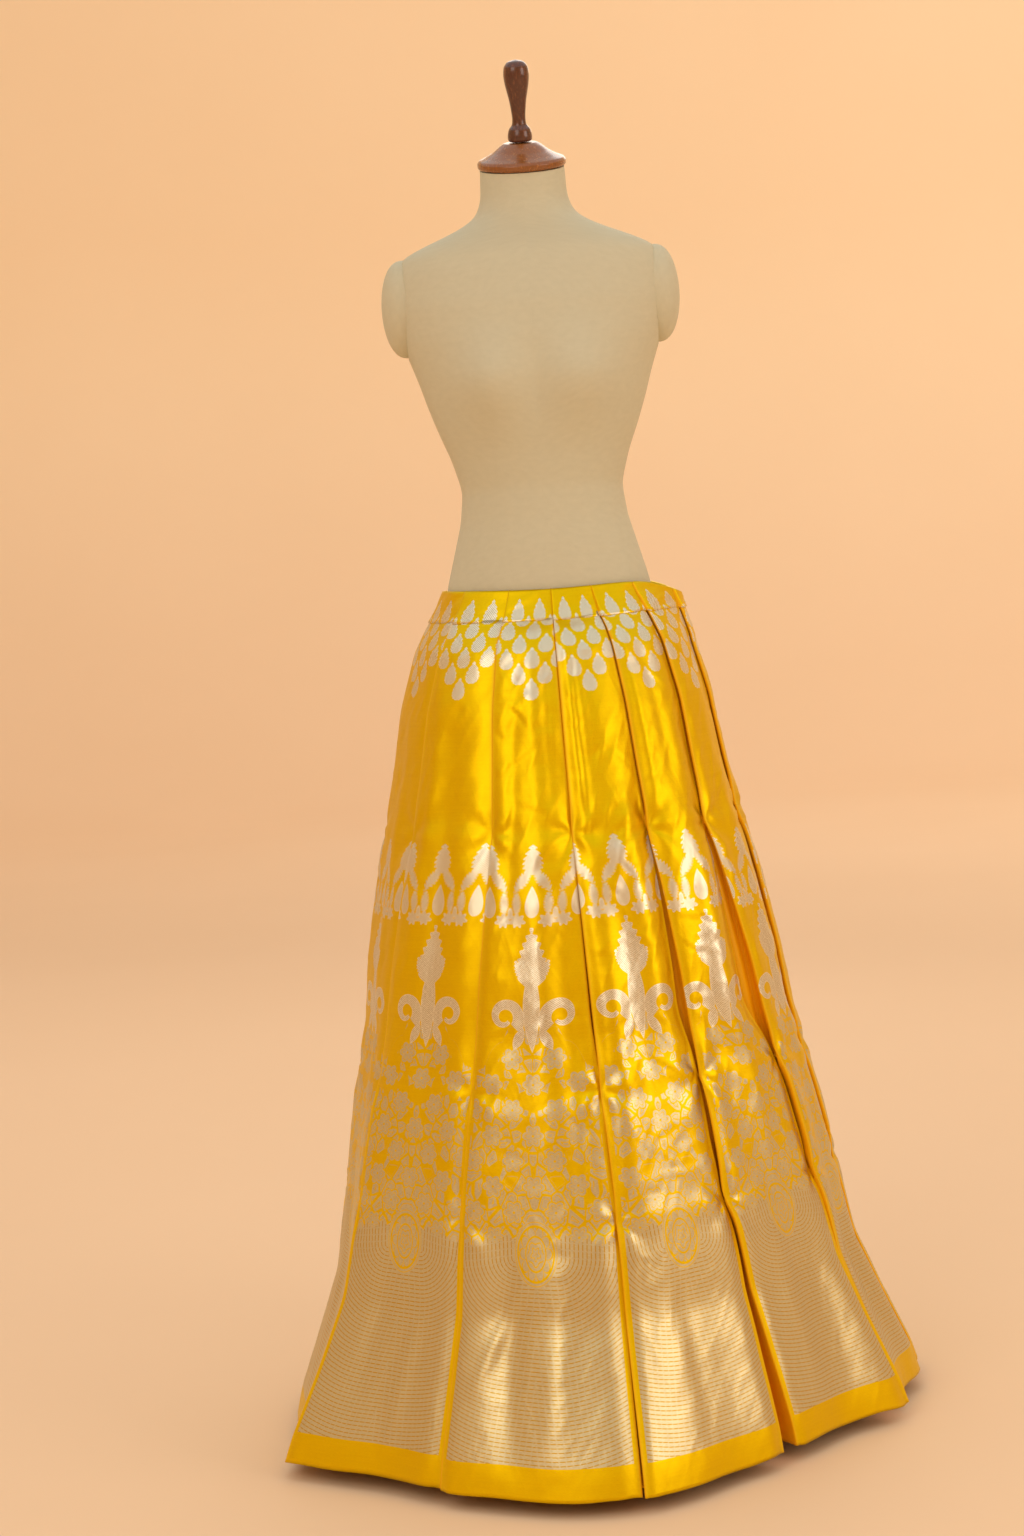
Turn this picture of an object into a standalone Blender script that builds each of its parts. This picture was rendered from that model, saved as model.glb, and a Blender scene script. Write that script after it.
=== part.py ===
"""Lehenga skirt on a limbless dress form.

Twelve flared kali panels hang from a waistband. Between two panels the cloth folds inwards into an
inverted pleat, tacked shut at a few heights and open between them. Metres, +Z up, the front towards -Y,
the origin under the middle of the stand's base. An angle is measured round +Z from the front (-Y)
towards +X, in degrees.
"""

import math

import bmesh
import bpy
import numpy as np

# ---- driving dimensions -------------------------------------------------------------------------
CLOTH = 0.0014            # wall of the doubled silk brocade
SEAM_GAP = 0.0003         # between two pieces that are sewn or that touch
LAYER = 0.0026            # from one layer of a pressed fold to the next, middle to middle
HEM_Z = 0.020             # the hem clears the floor
BAND_TOP_Z = 1.067
BAND_HEIGHT = 0.034
WAIST_DIP = 0.0045        # how much lower the waist sits at the front
BAND_WALL = 0.0024        # the band is the same cloth folded double
WAIST_SEAM = 0.0015       # between the middle lines' ends, as both walls lean and have square edges
SKIRT_TOP_Z = BAND_TOP_Z - BAND_HEIGHT - WAIST_SEAM

# The skirt's outline. depth_share is its depth over its width, so 1 is a round skirt.
OUTLINE = np.array([
    # z,     half_width, depth_share
    (1.040, 0.146, 0.80),
    (0.995, 0.174, 0.83),
    (0.920, 0.198, 0.87),
    (0.840, 0.213, 0.91),
    (0.765, 0.231, 0.94),
    (0.685, 0.249, 0.96),
    (0.600, 0.265, 0.98),
    (0.530, 0.274, 0.99),
    (0.450, 0.294, 1.00),
    (0.370, 0.311, 1.00),
    (0.290, 0.327, 1.00),
    (0.210, 0.343, 1.00),
    (0.130, 0.377, 1.00),
    (0.050, 0.414, 1.00),
    (0.020, 0.424, 1.00),
])

# One row for each pleat, round the skirt from the wearer's right of the front: its angle at the waist,
# the upper tacks, the lower tacks and the hem. The hem radius is the outline's times hem_reach. step_*
# is how far the panel after the pleat stands proud of the one before, above the lower tacks and at the
# hem. gap_* is how far the pleat stands open, at the waist, between its tacks and at the hem.
PLEATS = np.array([
    # waist_deg, upper_deg, lower_deg, hem_deg, hem_reach, step_top, step_hem,
    #                                              gap_top, gap_upper, gap_middle, gap_lower, gap_hem
    (-58.0, -57.0, -61.0, -61.7, 1.050, 0.002, 0.002, 0.0010, 0.002, 0.006, 0.003, 0.010),
    (-28.0, -24.0, -29.5, -29.3, 0.941, 0.002, 0.002, 0.0010, 0.002, 0.005, 0.003, 0.006),
    (1.5, 2.7, 6.2, 6.3, 0.993, 0.002, 0.002, 0.0010, 0.002, 0.007, 0.004, 0.010),
    (29.5, 28.2, 34.0, 41.6, 0.842, 0.004, -0.008, 0.0012, 0.002, 0.014, 0.007, 0.027),
    (57.5, 51.5, 66.5, 76.3, 0.942, 0.005, -0.018, 0.0012, 0.002, 0.038, 0.005, 0.026),
    (82.0, 77.0, 88.0, 98.0, 1.005, 0.004, 0.002, 0.0012, 0.003, 0.014, 0.006, 0.022),
    (111.0, 111.0, 119.0, 127.0, 0.985, 0.003, -0.004, 0.0010, 0.003, 0.020, 0.006, 0.024),
    (142.0, 143.0, 149.0, 155.0, 1.010, 0.002, 0.002, 0.0010, 0.003, 0.008, 0.004, 0.012),
    (174.0, 175.0, 179.0, 183.0, 0.975, 0.002, 0.004, 0.0010, 0.003, 0.022, 0.007, 0.030),
    (206.0, 207.0, 210.0, 212.0, 1.000, 0.002, -0.003, 0.0010, 0.002, 0.009, 0.003, 0.010),
    (238.0, 239.0, 240.0, 241.0, 0.960, 0.003, 0.004, 0.0010, 0.003, 0.016, 0.006, 0.028),
    (270.0, 271.0, 270.0, 269.0, 0.930, 0.002, 0.002, 0.0010, 0.003, 0.011, 0.004, 0.014),
])
KALIS = len(PLEATS)
REACH_POWER = 2.5         # how late down the skirt hem_reach comes in
FLARE_EASE = 0.6          # below the lower tacks a pleat turns towards hem_deg quickly at first

# Where the pleats are stitched shut, and where they stand open in between.
TACK_Z = (0.770, 0.470, 0.320)
GAP_AT_TACK = 0.0007
GAP_HEIGHTS = (HEM_Z, 0.140, TACK_Z[2], 0.395, TACK_Z[1], 0.550, TACK_Z[0], 0.900, SKIRT_TOP_Z)

# One row for each kali, the panel that starts at the pleat of the same row. The face between two
# pleats swells out by bulge_*, and a soft fold of depth ripple_hem runs down it.
KALI_FACES = np.array([
    # bulge_middle, bulge_hem, ripple_hem, ripple_turns
    (0.010, -0.008, 0.004, 1.0),
    (0.012, 0.021, -0.004, 1.0),
    (0.013, 0.002, 0.005, 1.0),
    (0.014, -0.011, 0.003, 1.5),
    (0.006, -0.002, -0.004, 1.0),
    (0.006, 0.010, 0.006, 1.5),
    (0.010, 0.010, 0.006, 1.0),
    (0.012, 0.016, 0.007, 1.5),
    (0.011, 0.008, 0.006, 1.0),
    (0.012, 0.014, 0.005, 1.5),
    (0.010, 0.012, 0.006, 1.0),
    (0.004, -0.012, 0.003, 1.0),
])
BULGE_TOP = 0.0045                         # of every panel's face, under the waistband
BULGE_MIDDLE_SHARE = 0.30                  # how far down the skirt bulge_middle is reached
RIPPLE_POWER = 1.3                         # how late down the skirt ripple_hem comes in

ROWS_Z = (SKIRT_TOP_Z, 0.985, 0.900, TACK_Z[0], 0.690, 0.620, 0.550, TACK_Z[1],
          0.395, TACK_Z[2], 0.235, 0.140, HEM_Z)
FACE_STEPS = (0.08, 0.25, 0.42, 0.58, 0.75, 0.92)     # where a panel's face has points, edge to edge
NEAR_EDGE = 0.001                                     # a step this close gives a face's slope at its edge

# A pleat's return runs back under its panel and goes in from the face. It is pressed flat at the
# waist and stands nearly straight in at the hem.
RETURN = np.array([
    # z,      back,  deep
    (HEM_Z, 0.006, 0.036),
    (TACK_Z[2], 0.008, 0.022),
    (TACK_Z[1], 0.010, 0.016),
    (0.610, 0.010, 0.014),
    (TACK_Z[0], 0.010, 0.006),
    (SKIRT_TOP_Z, 0.009, LAYER),
])
OPEN_TAKES_BACK, OPEN_TAKES_DEEP = 0.15, 0.10   # how much of its gap an open pleat's return gives up
RETURN_LEAST = 0.004

# The slack of the side opening stands out in a soft corner at the wearer's left.
PLACKET_DEG, PLACKET_SPREAD_DEG, PLACKET_POWER = 88.0, 14.0, 1.4
PLACKET_OUT = np.array([
    # z,             out
    (0.900, 0.000),
    (0.985, 0.005),
    (SKIRT_TOP_Z, 0.019),
    (BAND_TOP_Z, 0.034),
])
PLACKET_DROP = 0.020            # how far the band's top edge sinks at that corner
BAND_OPENING_DEG, BAND_END_GAP = 98.0, 0.0007
BAND_CORNER_DEGS = (PLACKET_DEG - 6.0, PLACKET_DEG - 2.0)    # extra points on the way up to the corner
BAND_CLEAR_TOP, BAND_CLEAR_FOOT = 0.0045, 0.0150    # from the form to the band's middle line
TUCK_DEPTH, TUCK_HALF_DEG = 0.0011, 0.7             # each pleat line runs on up the band as a groove
BAND_PLAIN_DEGS = (10.0, 20.0)                      # the band's points between one groove and the next

BASE_RADIUS, BASE_THICK, BASE_EDGE = 0.210, 0.005, 0.001
POLE_RADIUS, COLLAR_RADIUS, COLLAR_TOP_RADIUS, COLLAR_TOP_Z = 0.016, 0.030, 0.022, 0.060

# The form's body, its cups left out. front and back are its depths from the axis.
FORM_SECTIONS = np.array([
    # z,    half_width, front, back
    (0.800, 0.118, 0.078, 0.086),
    (0.806, 0.136, 0.088, 0.098),
    (0.830, 0.150, 0.096, 0.108),
    (0.880, 0.160, 0.102, 0.116),
    (0.940, 0.158, 0.103, 0.115),
    (0.990, 0.145, 0.098, 0.106),
    (1.032, 0.134, 0.094, 0.098),
    (1.070, 0.128, 0.094, 0.095),
    (1.110, 0.117, 0.090, 0.090),
    (1.150, 0.106, 0.085, 0.085),
    (1.190, 0.101, 0.083, 0.082),
    (1.230, 0.112, 0.089, 0.086),
    (1.268, 0.127, 0.097, 0.091),
    (1.300, 0.138, 0.102, 0.095),
    (1.327, 0.146, 0.104, 0.097),
    (1.350, 0.154, 0.103, 0.098),
    (1.378, 0.164, 0.101, 0.099),
    (1.420, 0.173, 0.094, 0.095),
    (1.460, 0.172, 0.082, 0.084),
    (1.486, 0.160, 0.073, 0.074),
    (1.502, 0.122, 0.066, 0.067),
    (1.515, 0.088, 0.061, 0.062),
    (1.530, 0.063, 0.057, 0.058),
    (1.552, 0.0545, 0.053, 0.054),
    (1.590, 0.0530, 0.051, 0.053),
])
FORM_POINTS = 32
FORM_SQUARE = 2.15              # 2 is an ellipse, more is squarer
CUP_Z, CUP_DEG, CUP_OUT, CUP_TALL, CUP_WIDE_DEG = 1.320, 31.0, 0.020, 0.050, 22.0
CUP_SIDEWAYS = 0.4              # a cup swells this much sideways for each 1 forwards
NECK_TILT = math.radians(15.0)  # the neck's cut top slopes down to the front
NECK_TILT_FROM_Z = 1.500
NECK_TOP_Z = 1.590

# The armholes are cut flat, and an arm cap stands on each.
ARMHOLE_X, ARM_CAP_Z = 0.1575, 1.424
ARM_CAP_HALF_TALL, ARM_CAP_HALF_DEEP, ARM_CAP_OUT = 0.061, 0.044, 0.030
ARM_CAP_RINGS = (0.0, 0.40, 0.72, 0.90, 0.98)       # shares of ARM_CAP_OUT
ARM_CAP_POINTS, ARM_CAP_POWER = 20, 2.4             # more power is a flatter, squarer cap

# Turned profiles, bottom to top, from the foot of each piece.
CAP_PROFILE = [
    # radius, height
    (0, 0), (0.0525, 0), (0.0560, 0.004), (0.0560, 0.009), (0.0500, 0.016),
    (0.0360, 0.024), (0.0220, 0.031), (0.0170, 0.032), (0, 0.032),
]
HANDLE_PROFILE = [
    # radius, height
    (0, 0), (0.0150, 0), (0.0155, 0.008), (0.0135, 0.016), (0.0088, 0.021), (0.0082, 0.030),
    (0.0105, 0.050), (0.0150, 0.070), (0.0163, 0.082), (0.0150, 0.092), (0.0100, 0.098), (0, 0.100),
]


# ---- helpers ------------------------------------------------------------------------------------
def material(name, colour, roughness, metallic=0.0):
    made = bpy.data.materials.new(name)
    made.use_nodes = True
    shader = made.node_tree.nodes["Principled BSDF"]
    shader.inputs["Base Color"].default_value = (*colour, 1.0)
    shader.inputs["Roughness"].default_value = roughness
    shader.inputs["Metallic"].default_value = metallic
    return made


def add_object(name, mesh, finish, sharp_deg=None):
    """Put a mesh into the scene. With sharp_deg it is shaded smooth, but for edges sharper than that."""
    mesh.materials.append(finish)
    if sharp_deg:
        mesh.shade_smooth()
        mesh.set_sharp_from_angle(angle=math.radians(sharp_deg))
    node = bpy.data.objects.new(name, mesh)
    bpy.context.scene.collection.objects.link(node)
    return node


def grid_mesh(name, points):
    """A mesh over an array of rows and columns of points, one quad between neighbours."""
    rows, columns = points.shape[:2]
    first = (np.arange(rows - 1)[:, None] * columns + np.arange(columns - 1)).ravel()
    quads = np.stack([first, first + 1, first + columns + 1, first + columns], axis=1)
    mesh = bpy.data.meshes.new(name)
    mesh.from_pydata(points.reshape(-1, 3).tolist(), [], quads.tolist())
    return mesh


def closed_loft(name, points):
    """A closed solid through rings of points, with one many-sided face at each end."""
    rings, count = points.shape[:2]
    made = bmesh.new()
    verts = [[made.verts.new(p) for p in ring] for ring in points.tolist()]
    for low, high in zip(verts, verts[1:]):
        for i in range(count):
            j = (i + 1) % count
            made.faces.new((low[i], low[j], high[j], high[i]))
    made.faces.new(reversed(verts[0]))
    made.faces.new(verts[-1])
    bmesh.ops.recalc_face_normals(made, faces=made.faces)
    mesh = bpy.data.meshes.new(name)
    made.to_mesh(mesh)
    made.free()
    return mesh


def turned(name, profile, steps, finish):
    """A solid turned about its own Z from (radius, height) pairs, bottom to top, closed on the axis."""
    made = bmesh.new()
    verts = [made.verts.new((radius, 0.0, height)) for radius, height in profile]
    edges = [made.edges.new(pair) for pair in zip(verts, verts[1:])]
    bmesh.ops.spin(made, geom=verts + edges, cent=(0, 0, 0), axis=(0, 0, 1),
                   angle=math.tau, steps=steps, use_merge=True)
    bmesh.ops.remove_doubles(made, verts=made.verts, dist=1e-5)
    bmesh.ops.recalc_face_normals(made, faces=made.faces)
    mesh = bpy.data.meshes.new(name)
    made.to_mesh(mesh)
    made.free()
    return add_object(name, mesh, finish, sharp_deg=40)


def cloth_wall(node, thickness):
    """Give a piece's middle surface its wall, half of it on each side."""
    wall = node.modifiers.new("wall", "SOLIDIFY")
    wall.thickness = thickness
    wall.offset = 0.0
    wall.use_even_offset = True


def round_unit(degrees):
    """Unit vectors outwards and along the round at an angle from the front."""
    angle = np.radians(degrees)
    outwards = np.stack([np.sin(angle), -np.cos(angle)], axis=-1)
    along = np.stack([np.cos(angle), np.sin(angle)], axis=-1)
    return outwards, along


def at_height(z, column):
    """A column of OUTLINE at height z."""
    return np.interp(z, OUTLINE[::-1, 0], OUTLINE[::-1, column])


def drop_share(z):
    """0 at the skirt's top, 1 at the hem."""
    return (SKIRT_TOP_Z - z) / (SKIRT_TOP_Z - HEM_Z)


# ---- the skirt ----------------------------------------------------------------------------------
def waist_dip(degrees):
    """How far the waist sinks towards the front."""
    return WAIST_DIP * np.maximum(np.cos(np.radians(degrees)), 0.0) ** 2


def placket_push(degrees, z):
    """How far the side opening's slack moves the cloth outwards."""
    away = np.abs((degrees - PLACKET_DEG + 180) % 360 - 180) / PLACKET_SPREAD_DEG
    return np.interp(z, PLACKET_OUT[:, 0], PLACKET_OUT[:, 1]) * np.exp(-away ** PLACKET_POWER)


def pleat_point(pleat, z):
    """A pleat's line at height z: its place, and the directions outwards and along the round."""
    hem_reach = PLEATS[pleat, 4]
    share = drop_share(z)
    waist_deg, upper_deg, lower_deg, hem_deg = PLEATS[pleat, :4]
    degrees = np.interp(z, (TACK_Z[2], TACK_Z[0], SKIRT_TOP_Z), (lower_deg, upper_deg, waist_deg))
    below = max(0.0, (TACK_Z[2] - z) / (TACK_Z[2] - HEM_Z))
    degrees += (hem_deg - lower_deg) * below ** FLARE_EASE
    outwards, along = round_unit(degrees)
    half_width, depth_share = at_height(z, 1), at_height(z, 2)
    radius = half_width / np.hypot(outwards[0], outwards[1] / depth_share)
    radius *= 1 + (hem_reach - 1) * share ** REACH_POWER
    return radius * outwards, outwards, along


def pleat_gap(pleat, z):
    """Clear width of a pleat's mouth at height z, shut at the tacks."""
    top, upper, middle, lower, hem = PLEATS[pleat, 7:]
    widths = (hem, (hem + lower) / 2, GAP_AT_TACK, lower, GAP_AT_TACK, middle, GAP_AT_TACK, upper, top)
    return float(np.interp(z, GAP_HEIGHTS, widths))


def pleat_fold(gap, z):
    """How far a pleat's return runs back, and how far in it ends. A pleat that stands open holds less."""
    back, deep = (np.interp(z, RETURN[:, 0], RETURN[:, k]) for k in (1, 2))
    return max(back - OPEN_TAKES_BACK * gap, RETURN_LEAST), max(deep - OPEN_TAKES_DEEP * gap, LAYER)


def face_offset(kali, steps, z):
    """How far a panel's face stands out from the straight line between its fold edges."""
    bulge_middle, bulge_hem, ripple_hem, turns = KALI_FACES[kali]
    share = drop_share(z)
    bulge = np.interp(share, (0.0, BULGE_MIDDLE_SHARE, 1.0), (BULGE_TOP, bulge_middle, bulge_hem))
    swell = 4 * bulge * steps * (1 - steps)
    wave = np.sin(math.tau * turns * steps) * np.sin(math.pi * steps)
    return swell + ripple_hem * share ** RIPPLE_POWER * wave


def fold_edge(pleat, side, z):
    """The edge of the panel on one side of a pleat: side is 1 for the panel after it, -1 before it.

    The panel after the pleat keeps to the pleat's line, and the one before it gives way by the gap.
    """
    line, outwards, along = pleat_point(pleat, z)
    step = np.interp(z, (HEM_Z, TACK_Z[2]), PLEATS[pleat, 6:4:-1])
    back_off = CLOTH / 2 if side == 1 else -CLOTH / 2 - pleat_gap(pleat, z)
    return line + along * back_off + outwards * side * step / 2


def face_line(kali, steps, z):
    """Points of a panel's face, from its left fold edge at 0 to its right one at 1."""
    left, right = fold_edge(kali, 1, z), fold_edge((kali + 1) % KALIS, -1, z)
    chord = right - left
    out = np.array([chord[1], -chord[0]]) / np.hypot(*chord)
    return left + np.outer(steps, chord) + np.outer(face_offset(kali, steps, z), out)


def pleat_return(pleat, side, z):
    """The two points of the return that turns in behind a fold edge."""
    _, outwards, _ = pleat_point(pleat, z)
    kali = pleat if side == 1 else (pleat - 1) % KALIS
    steps = np.array([0.0, NEAR_EDGE]) if side == 1 else np.array([1.0, 1.0 - NEAR_EDGE])
    edge, near = face_line(kali, steps, z)
    away = (near - edge) / np.hypot(*(near - edge))
    back, deep = pleat_fold(pleat_gap(pleat, z), z)
    return edge - outwards * LAYER, edge + away * back - outwards * deep


def half_pleat(pleat, side, z):
    """The folded cloth beyond one edge of a panel, from the edge to the seam in the pleat's middle."""
    line, outwards, along = pleat_point(pleat, z)
    behind, turn = pleat_return(pleat, side, z)
    depth = LAYER + max((line - pleat_return(pleat, way, z)[1]) @ outwards for way in (1, -1))
    seam = line - outwards * depth + along * (side * SEAM_GAP - pleat_gap(pleat, z)) / 2
    under = seam + along * side * ((turn - seam) @ (along * side))
    return [behind, turn, under, seam]


def kali_section(kali, z):
    """The middle line of one kali round height z, from its left seam to its right seam."""
    left_side = half_pleat(kali, 1, z)[::-1]
    face = face_line(kali, np.array([0.0, *FACE_STEPS, 1.0]), z)
    line = np.vstack([left_side, face, half_pleat((kali + 1) % KALIS, -1, z)])
    outwards = line / np.hypot(line[:, 0], line[:, 1])[:, None]
    degrees = np.degrees(np.arctan2(line[:, 0], -line[:, 1]))
    line = line + outwards * placket_push(degrees, z)[:, None]
    return np.column_stack([line, z - waist_dip(degrees) * np.interp(z, ROWS_Z[1::-1], (0.0, 1.0))])


def make_kali(kali, finish):
    rows = np.array([kali_section(kali, z) for z in ROWS_Z[::-1]])
    mesh = grid_mesh(f"kali_{kali + 1:02d}", rows)
    cloth_wall(add_object(mesh.name, mesh, finish), CLOTH)


# ---- the waistband ------------------------------------------------------------------------------
def band_point(degrees, z_share):
    """A point of the band's middle line. z_share is 0 at its foot and 1 at its top."""
    foot_z = BAND_TOP_Z - BAND_HEIGHT
    z = foot_z + BAND_HEIGHT * z_share
    outwards, _ = round_unit(degrees)
    radius = form_radius(degrees, z) + BAND_CLEAR_FOOT + (BAND_CLEAR_TOP - BAND_CLEAR_FOOT) * z_share
    off = np.abs((degrees - PLEATS[:, 0] + 180) % 360 - 180).min()
    radius -= TUCK_DEPTH * max(0.0, 1 - off / TUCK_HALF_DEG)
    push = placket_push(degrees, z)
    radius += push
    z -= waist_dip(degrees) + PLACKET_DROP * z_share * push / PLACKET_OUT[-1, 1]
    return (radius * outwards[0], radius * outwards[1], z)


def make_waistband(finish):
    end_radius = math.hypot(*band_point(BAND_OPENING_DEG, 1.0)[:2])
    half_gap = math.degrees(BAND_END_GAP / 2 / end_radius)
    stops = [BAND_OPENING_DEG - 360 + half_gap, *BAND_CORNER_DEGS, BAND_OPENING_DEG - half_gap]
    for waist_deg in PLEATS[:, 0]:
        middle = waist_deg if waist_deg < BAND_OPENING_DEG else waist_deg - 360
        stops += [middle - TUCK_HALF_DEG, middle, middle + TUCK_HALF_DEG]
        stops += [middle + plain for plain in BAND_PLAIN_DEGS]
    rows = [[band_point(degrees, share) for degrees in sorted(stops)] for share in (0.0, 0.5, 1.0)]
    cloth_wall(add_object("waistband", grid_mesh("waistband", np.array(rows)), finish), BAND_WALL)


# ---- the dress form -----------------------------------------------------------------------------
def form_radius(degrees, z):
    """How far the form's plain outline is from the axis, cups and armholes left out."""
    half_width, front, back = (np.interp(z, FORM_SECTIONS[:, 0], FORM_SECTIONS[:, k]) for k in (1, 2, 3))
    outwards, _ = round_unit(degrees)
    depth = np.where(outwards[..., 1] < 0, front, back)
    shares = np.abs(outwards[..., 0] / half_width), np.abs(outwards[..., 1] / depth)
    return (shares[0] ** FORM_SQUARE + shares[1] ** FORM_SQUARE) ** (-1 / FORM_SQUARE)


def form_ring(z, half_width, front, back):
    """Points of the form's outline at height z, with its cups, its flat armholes and its tilted neck."""
    angle = np.arange(FORM_POINTS) * math.tau / FORM_POINTS
    depth = np.where(np.cos(angle) > 0, front, back)
    degrees = np.degrees(np.arctan2(half_width * np.sin(angle), depth * np.cos(angle)))
    outline = form_radius(degrees, z)[:, None] * round_unit(degrees)[0]
    x, y = outline.T
    cup = CUP_OUT * np.exp(-((np.abs(degrees) - CUP_DEG) / CUP_WIDE_DEG) ** 2)
    cup *= np.exp(-((z - CUP_Z) / CUP_TALL) ** 2)
    radius = np.hypot(x, y)
    x, y = x * (1 + CUP_SIDEWAYS * cup / radius), y * (1 + cup / radius)
    x = np.clip(x, -ARMHOLE_X, ARMHOLE_X) if z > ARM_CAP_Z - ARM_CAP_HALF_TALL else x
    tilt = max(0.0, (z - NECK_TILT_FROM_Z) / (NECK_TOP_Z - NECK_TILT_FROM_Z))
    heights = z + tilt ** 2 * math.tan(NECK_TILT) * y
    return np.stack([x, y, heights], axis=1)


def make_form(finish):
    rings = np.array([form_ring(*row) for row in FORM_SECTIONS])
    add_object("form_torso", closed_loft("form_torso", rings), finish, sharp_deg=50)
    angle = np.arange(ARM_CAP_POINTS) * math.tau / ARM_CAP_POINTS
    for name, side in (("form_arm_cap_right", -1), ("form_arm_cap_left", 1)):
        rings = []
        for out in ARM_CAP_RINGS:
            size = math.sqrt(1 - out ** ARM_CAP_POWER)
            rings.append(np.stack([
                np.full(ARM_CAP_POINTS, side * (ARMHOLE_X + SEAM_GAP + ARM_CAP_OUT * out)),
                ARM_CAP_HALF_DEEP * size * np.cos(angle),
                ARM_CAP_Z + ARM_CAP_HALF_TALL * size * np.sin(angle),
            ], axis=1))
        add_object(name, closed_loft(name, np.array(rings)), finish, sharp_deg=50)


def make_neck_cap(wood):
    """The turned cap on the neck and the handle on it, tilted with the neck's cut top."""
    neck_axis = bpy.data.objects.new("neck_axis", None)
    bpy.context.scene.collection.objects.link(neck_axis)
    neck_axis.location = (0.0, 0.0, NECK_TOP_Z + SEAM_GAP)
    neck_axis.rotation_euler = (NECK_TILT, 0.0, 0.0)
    cap = turned("form_neck_cap", CAP_PROFILE, 32, wood)
    handle_foot = CAP_PROFILE[-1][1] + SEAM_GAP
    raised = [(radius, height + handle_foot) for radius, height in HANDLE_PROFILE]
    handle = turned("form_handle", raised, 20, wood)
    for node in (cap, handle):
        node.parent = neck_axis


def make_stand(metal):
    """The flat round base plate, the collar that stands on it, and the pole from the collar up."""
    rim = BASE_RADIUS - BASE_EDGE
    base_profile = [(0, 0), (rim, 0), (BASE_RADIUS, BASE_EDGE), (BASE_RADIUS, BASE_THICK - BASE_EDGE),
                    (rim, BASE_THICK), (0, BASE_THICK)]
    turned("stand_base", base_profile, 40, metal)
    collar_foot = BASE_THICK + SEAM_GAP
    collar_profile = [(0, collar_foot), (COLLAR_RADIUS, collar_foot), (COLLAR_TOP_RADIUS, COLLAR_TOP_Z),
                      (0, COLLAR_TOP_Z)]
    turned("stand_collar", collar_profile, 20, metal)
    foot, top = COLLAR_TOP_Z + SEAM_GAP, FORM_SECTIONS[0, 0] - SEAM_GAP
    turned("stand_pole", [(0, foot), (POLE_RADIUS, foot), (POLE_RADIUS, top), (0, top)], 20, metal)


# ---- building -----------------------------------------------------------------------------------
def build():
    for old in list(bpy.data.objects):
        bpy.data.objects.remove(old)
    brocade = material("silk_brocade", (0.86, 0.60, 0.05), 0.38, 0.2)
    linen = material("form_linen", (0.56, 0.50, 0.34), 0.85)
    wood = material("turned_wood", (0.30, 0.11, 0.05), 0.35)
    steel = material("stand_steel", (0.55, 0.55, 0.56), 0.4, 0.9)
    for kali in range(KALIS):
        make_kali(kali, brocade)
    make_waistband(brocade)
    make_form(linen)
    make_neck_cap(wood)
    make_stand(steel)


build()
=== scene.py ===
# %% [markdown]
# # A lehenga skirt on a dress form
#
# A lehenga is a floor-length skirt from South Asia. This one is a kalidar lehenga: twelve flared
# panels, each called a kali, hang from a waistband. Where two kalis meet, the cloth folds inwards into
# an inverted pleat. A few hand stitches, called tacks, hold each pleat shut at set heights.
# The solids of the skirt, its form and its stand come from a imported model, and this script gives them
# their looks. Every new piece stays where its solid is.

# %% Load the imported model
import math

import bpy
import numpy as np
from mathutils import Matrix, Vector


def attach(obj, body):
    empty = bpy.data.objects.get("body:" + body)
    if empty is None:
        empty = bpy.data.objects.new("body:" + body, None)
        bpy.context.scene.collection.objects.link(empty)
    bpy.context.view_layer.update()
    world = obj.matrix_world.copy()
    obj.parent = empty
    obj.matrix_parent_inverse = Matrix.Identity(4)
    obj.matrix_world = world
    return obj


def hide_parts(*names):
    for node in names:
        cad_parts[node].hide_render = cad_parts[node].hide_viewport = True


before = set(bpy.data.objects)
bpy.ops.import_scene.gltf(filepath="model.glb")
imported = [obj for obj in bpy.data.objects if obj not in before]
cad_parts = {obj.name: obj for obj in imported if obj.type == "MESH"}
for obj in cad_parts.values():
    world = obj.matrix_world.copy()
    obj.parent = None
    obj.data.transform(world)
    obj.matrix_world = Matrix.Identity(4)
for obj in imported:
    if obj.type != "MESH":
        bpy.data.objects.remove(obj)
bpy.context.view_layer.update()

# %% [markdown]
# ## The camera
#
# The camera stands 3.5 m in front of the skirt, a little above its waist. It looks slightly down and
# is rolled a few degrees, so the skirt seems to lean. A camera could be turned with Euler angles. Here
# its three axes are worked out one by one, because that shows which angle does what.

# %% Camera
CAMERA_PLACE = (0.0, -3.5, 1.0952)
CAMERA_DOWN, CAMERA_YAW, CAMERA_ROLL = (math.radians(a) for a in (4.215, -1.005, -3.725))
LENS_MM, LONG_SIDE_MM = 64.49, 36.0


def add_object(name, data):
    """Put an object with this data into the scene, at the origin."""
    made = bpy.data.objects.new(name, data)
    bpy.context.scene.collection.objects.link(made)
    return made


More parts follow.
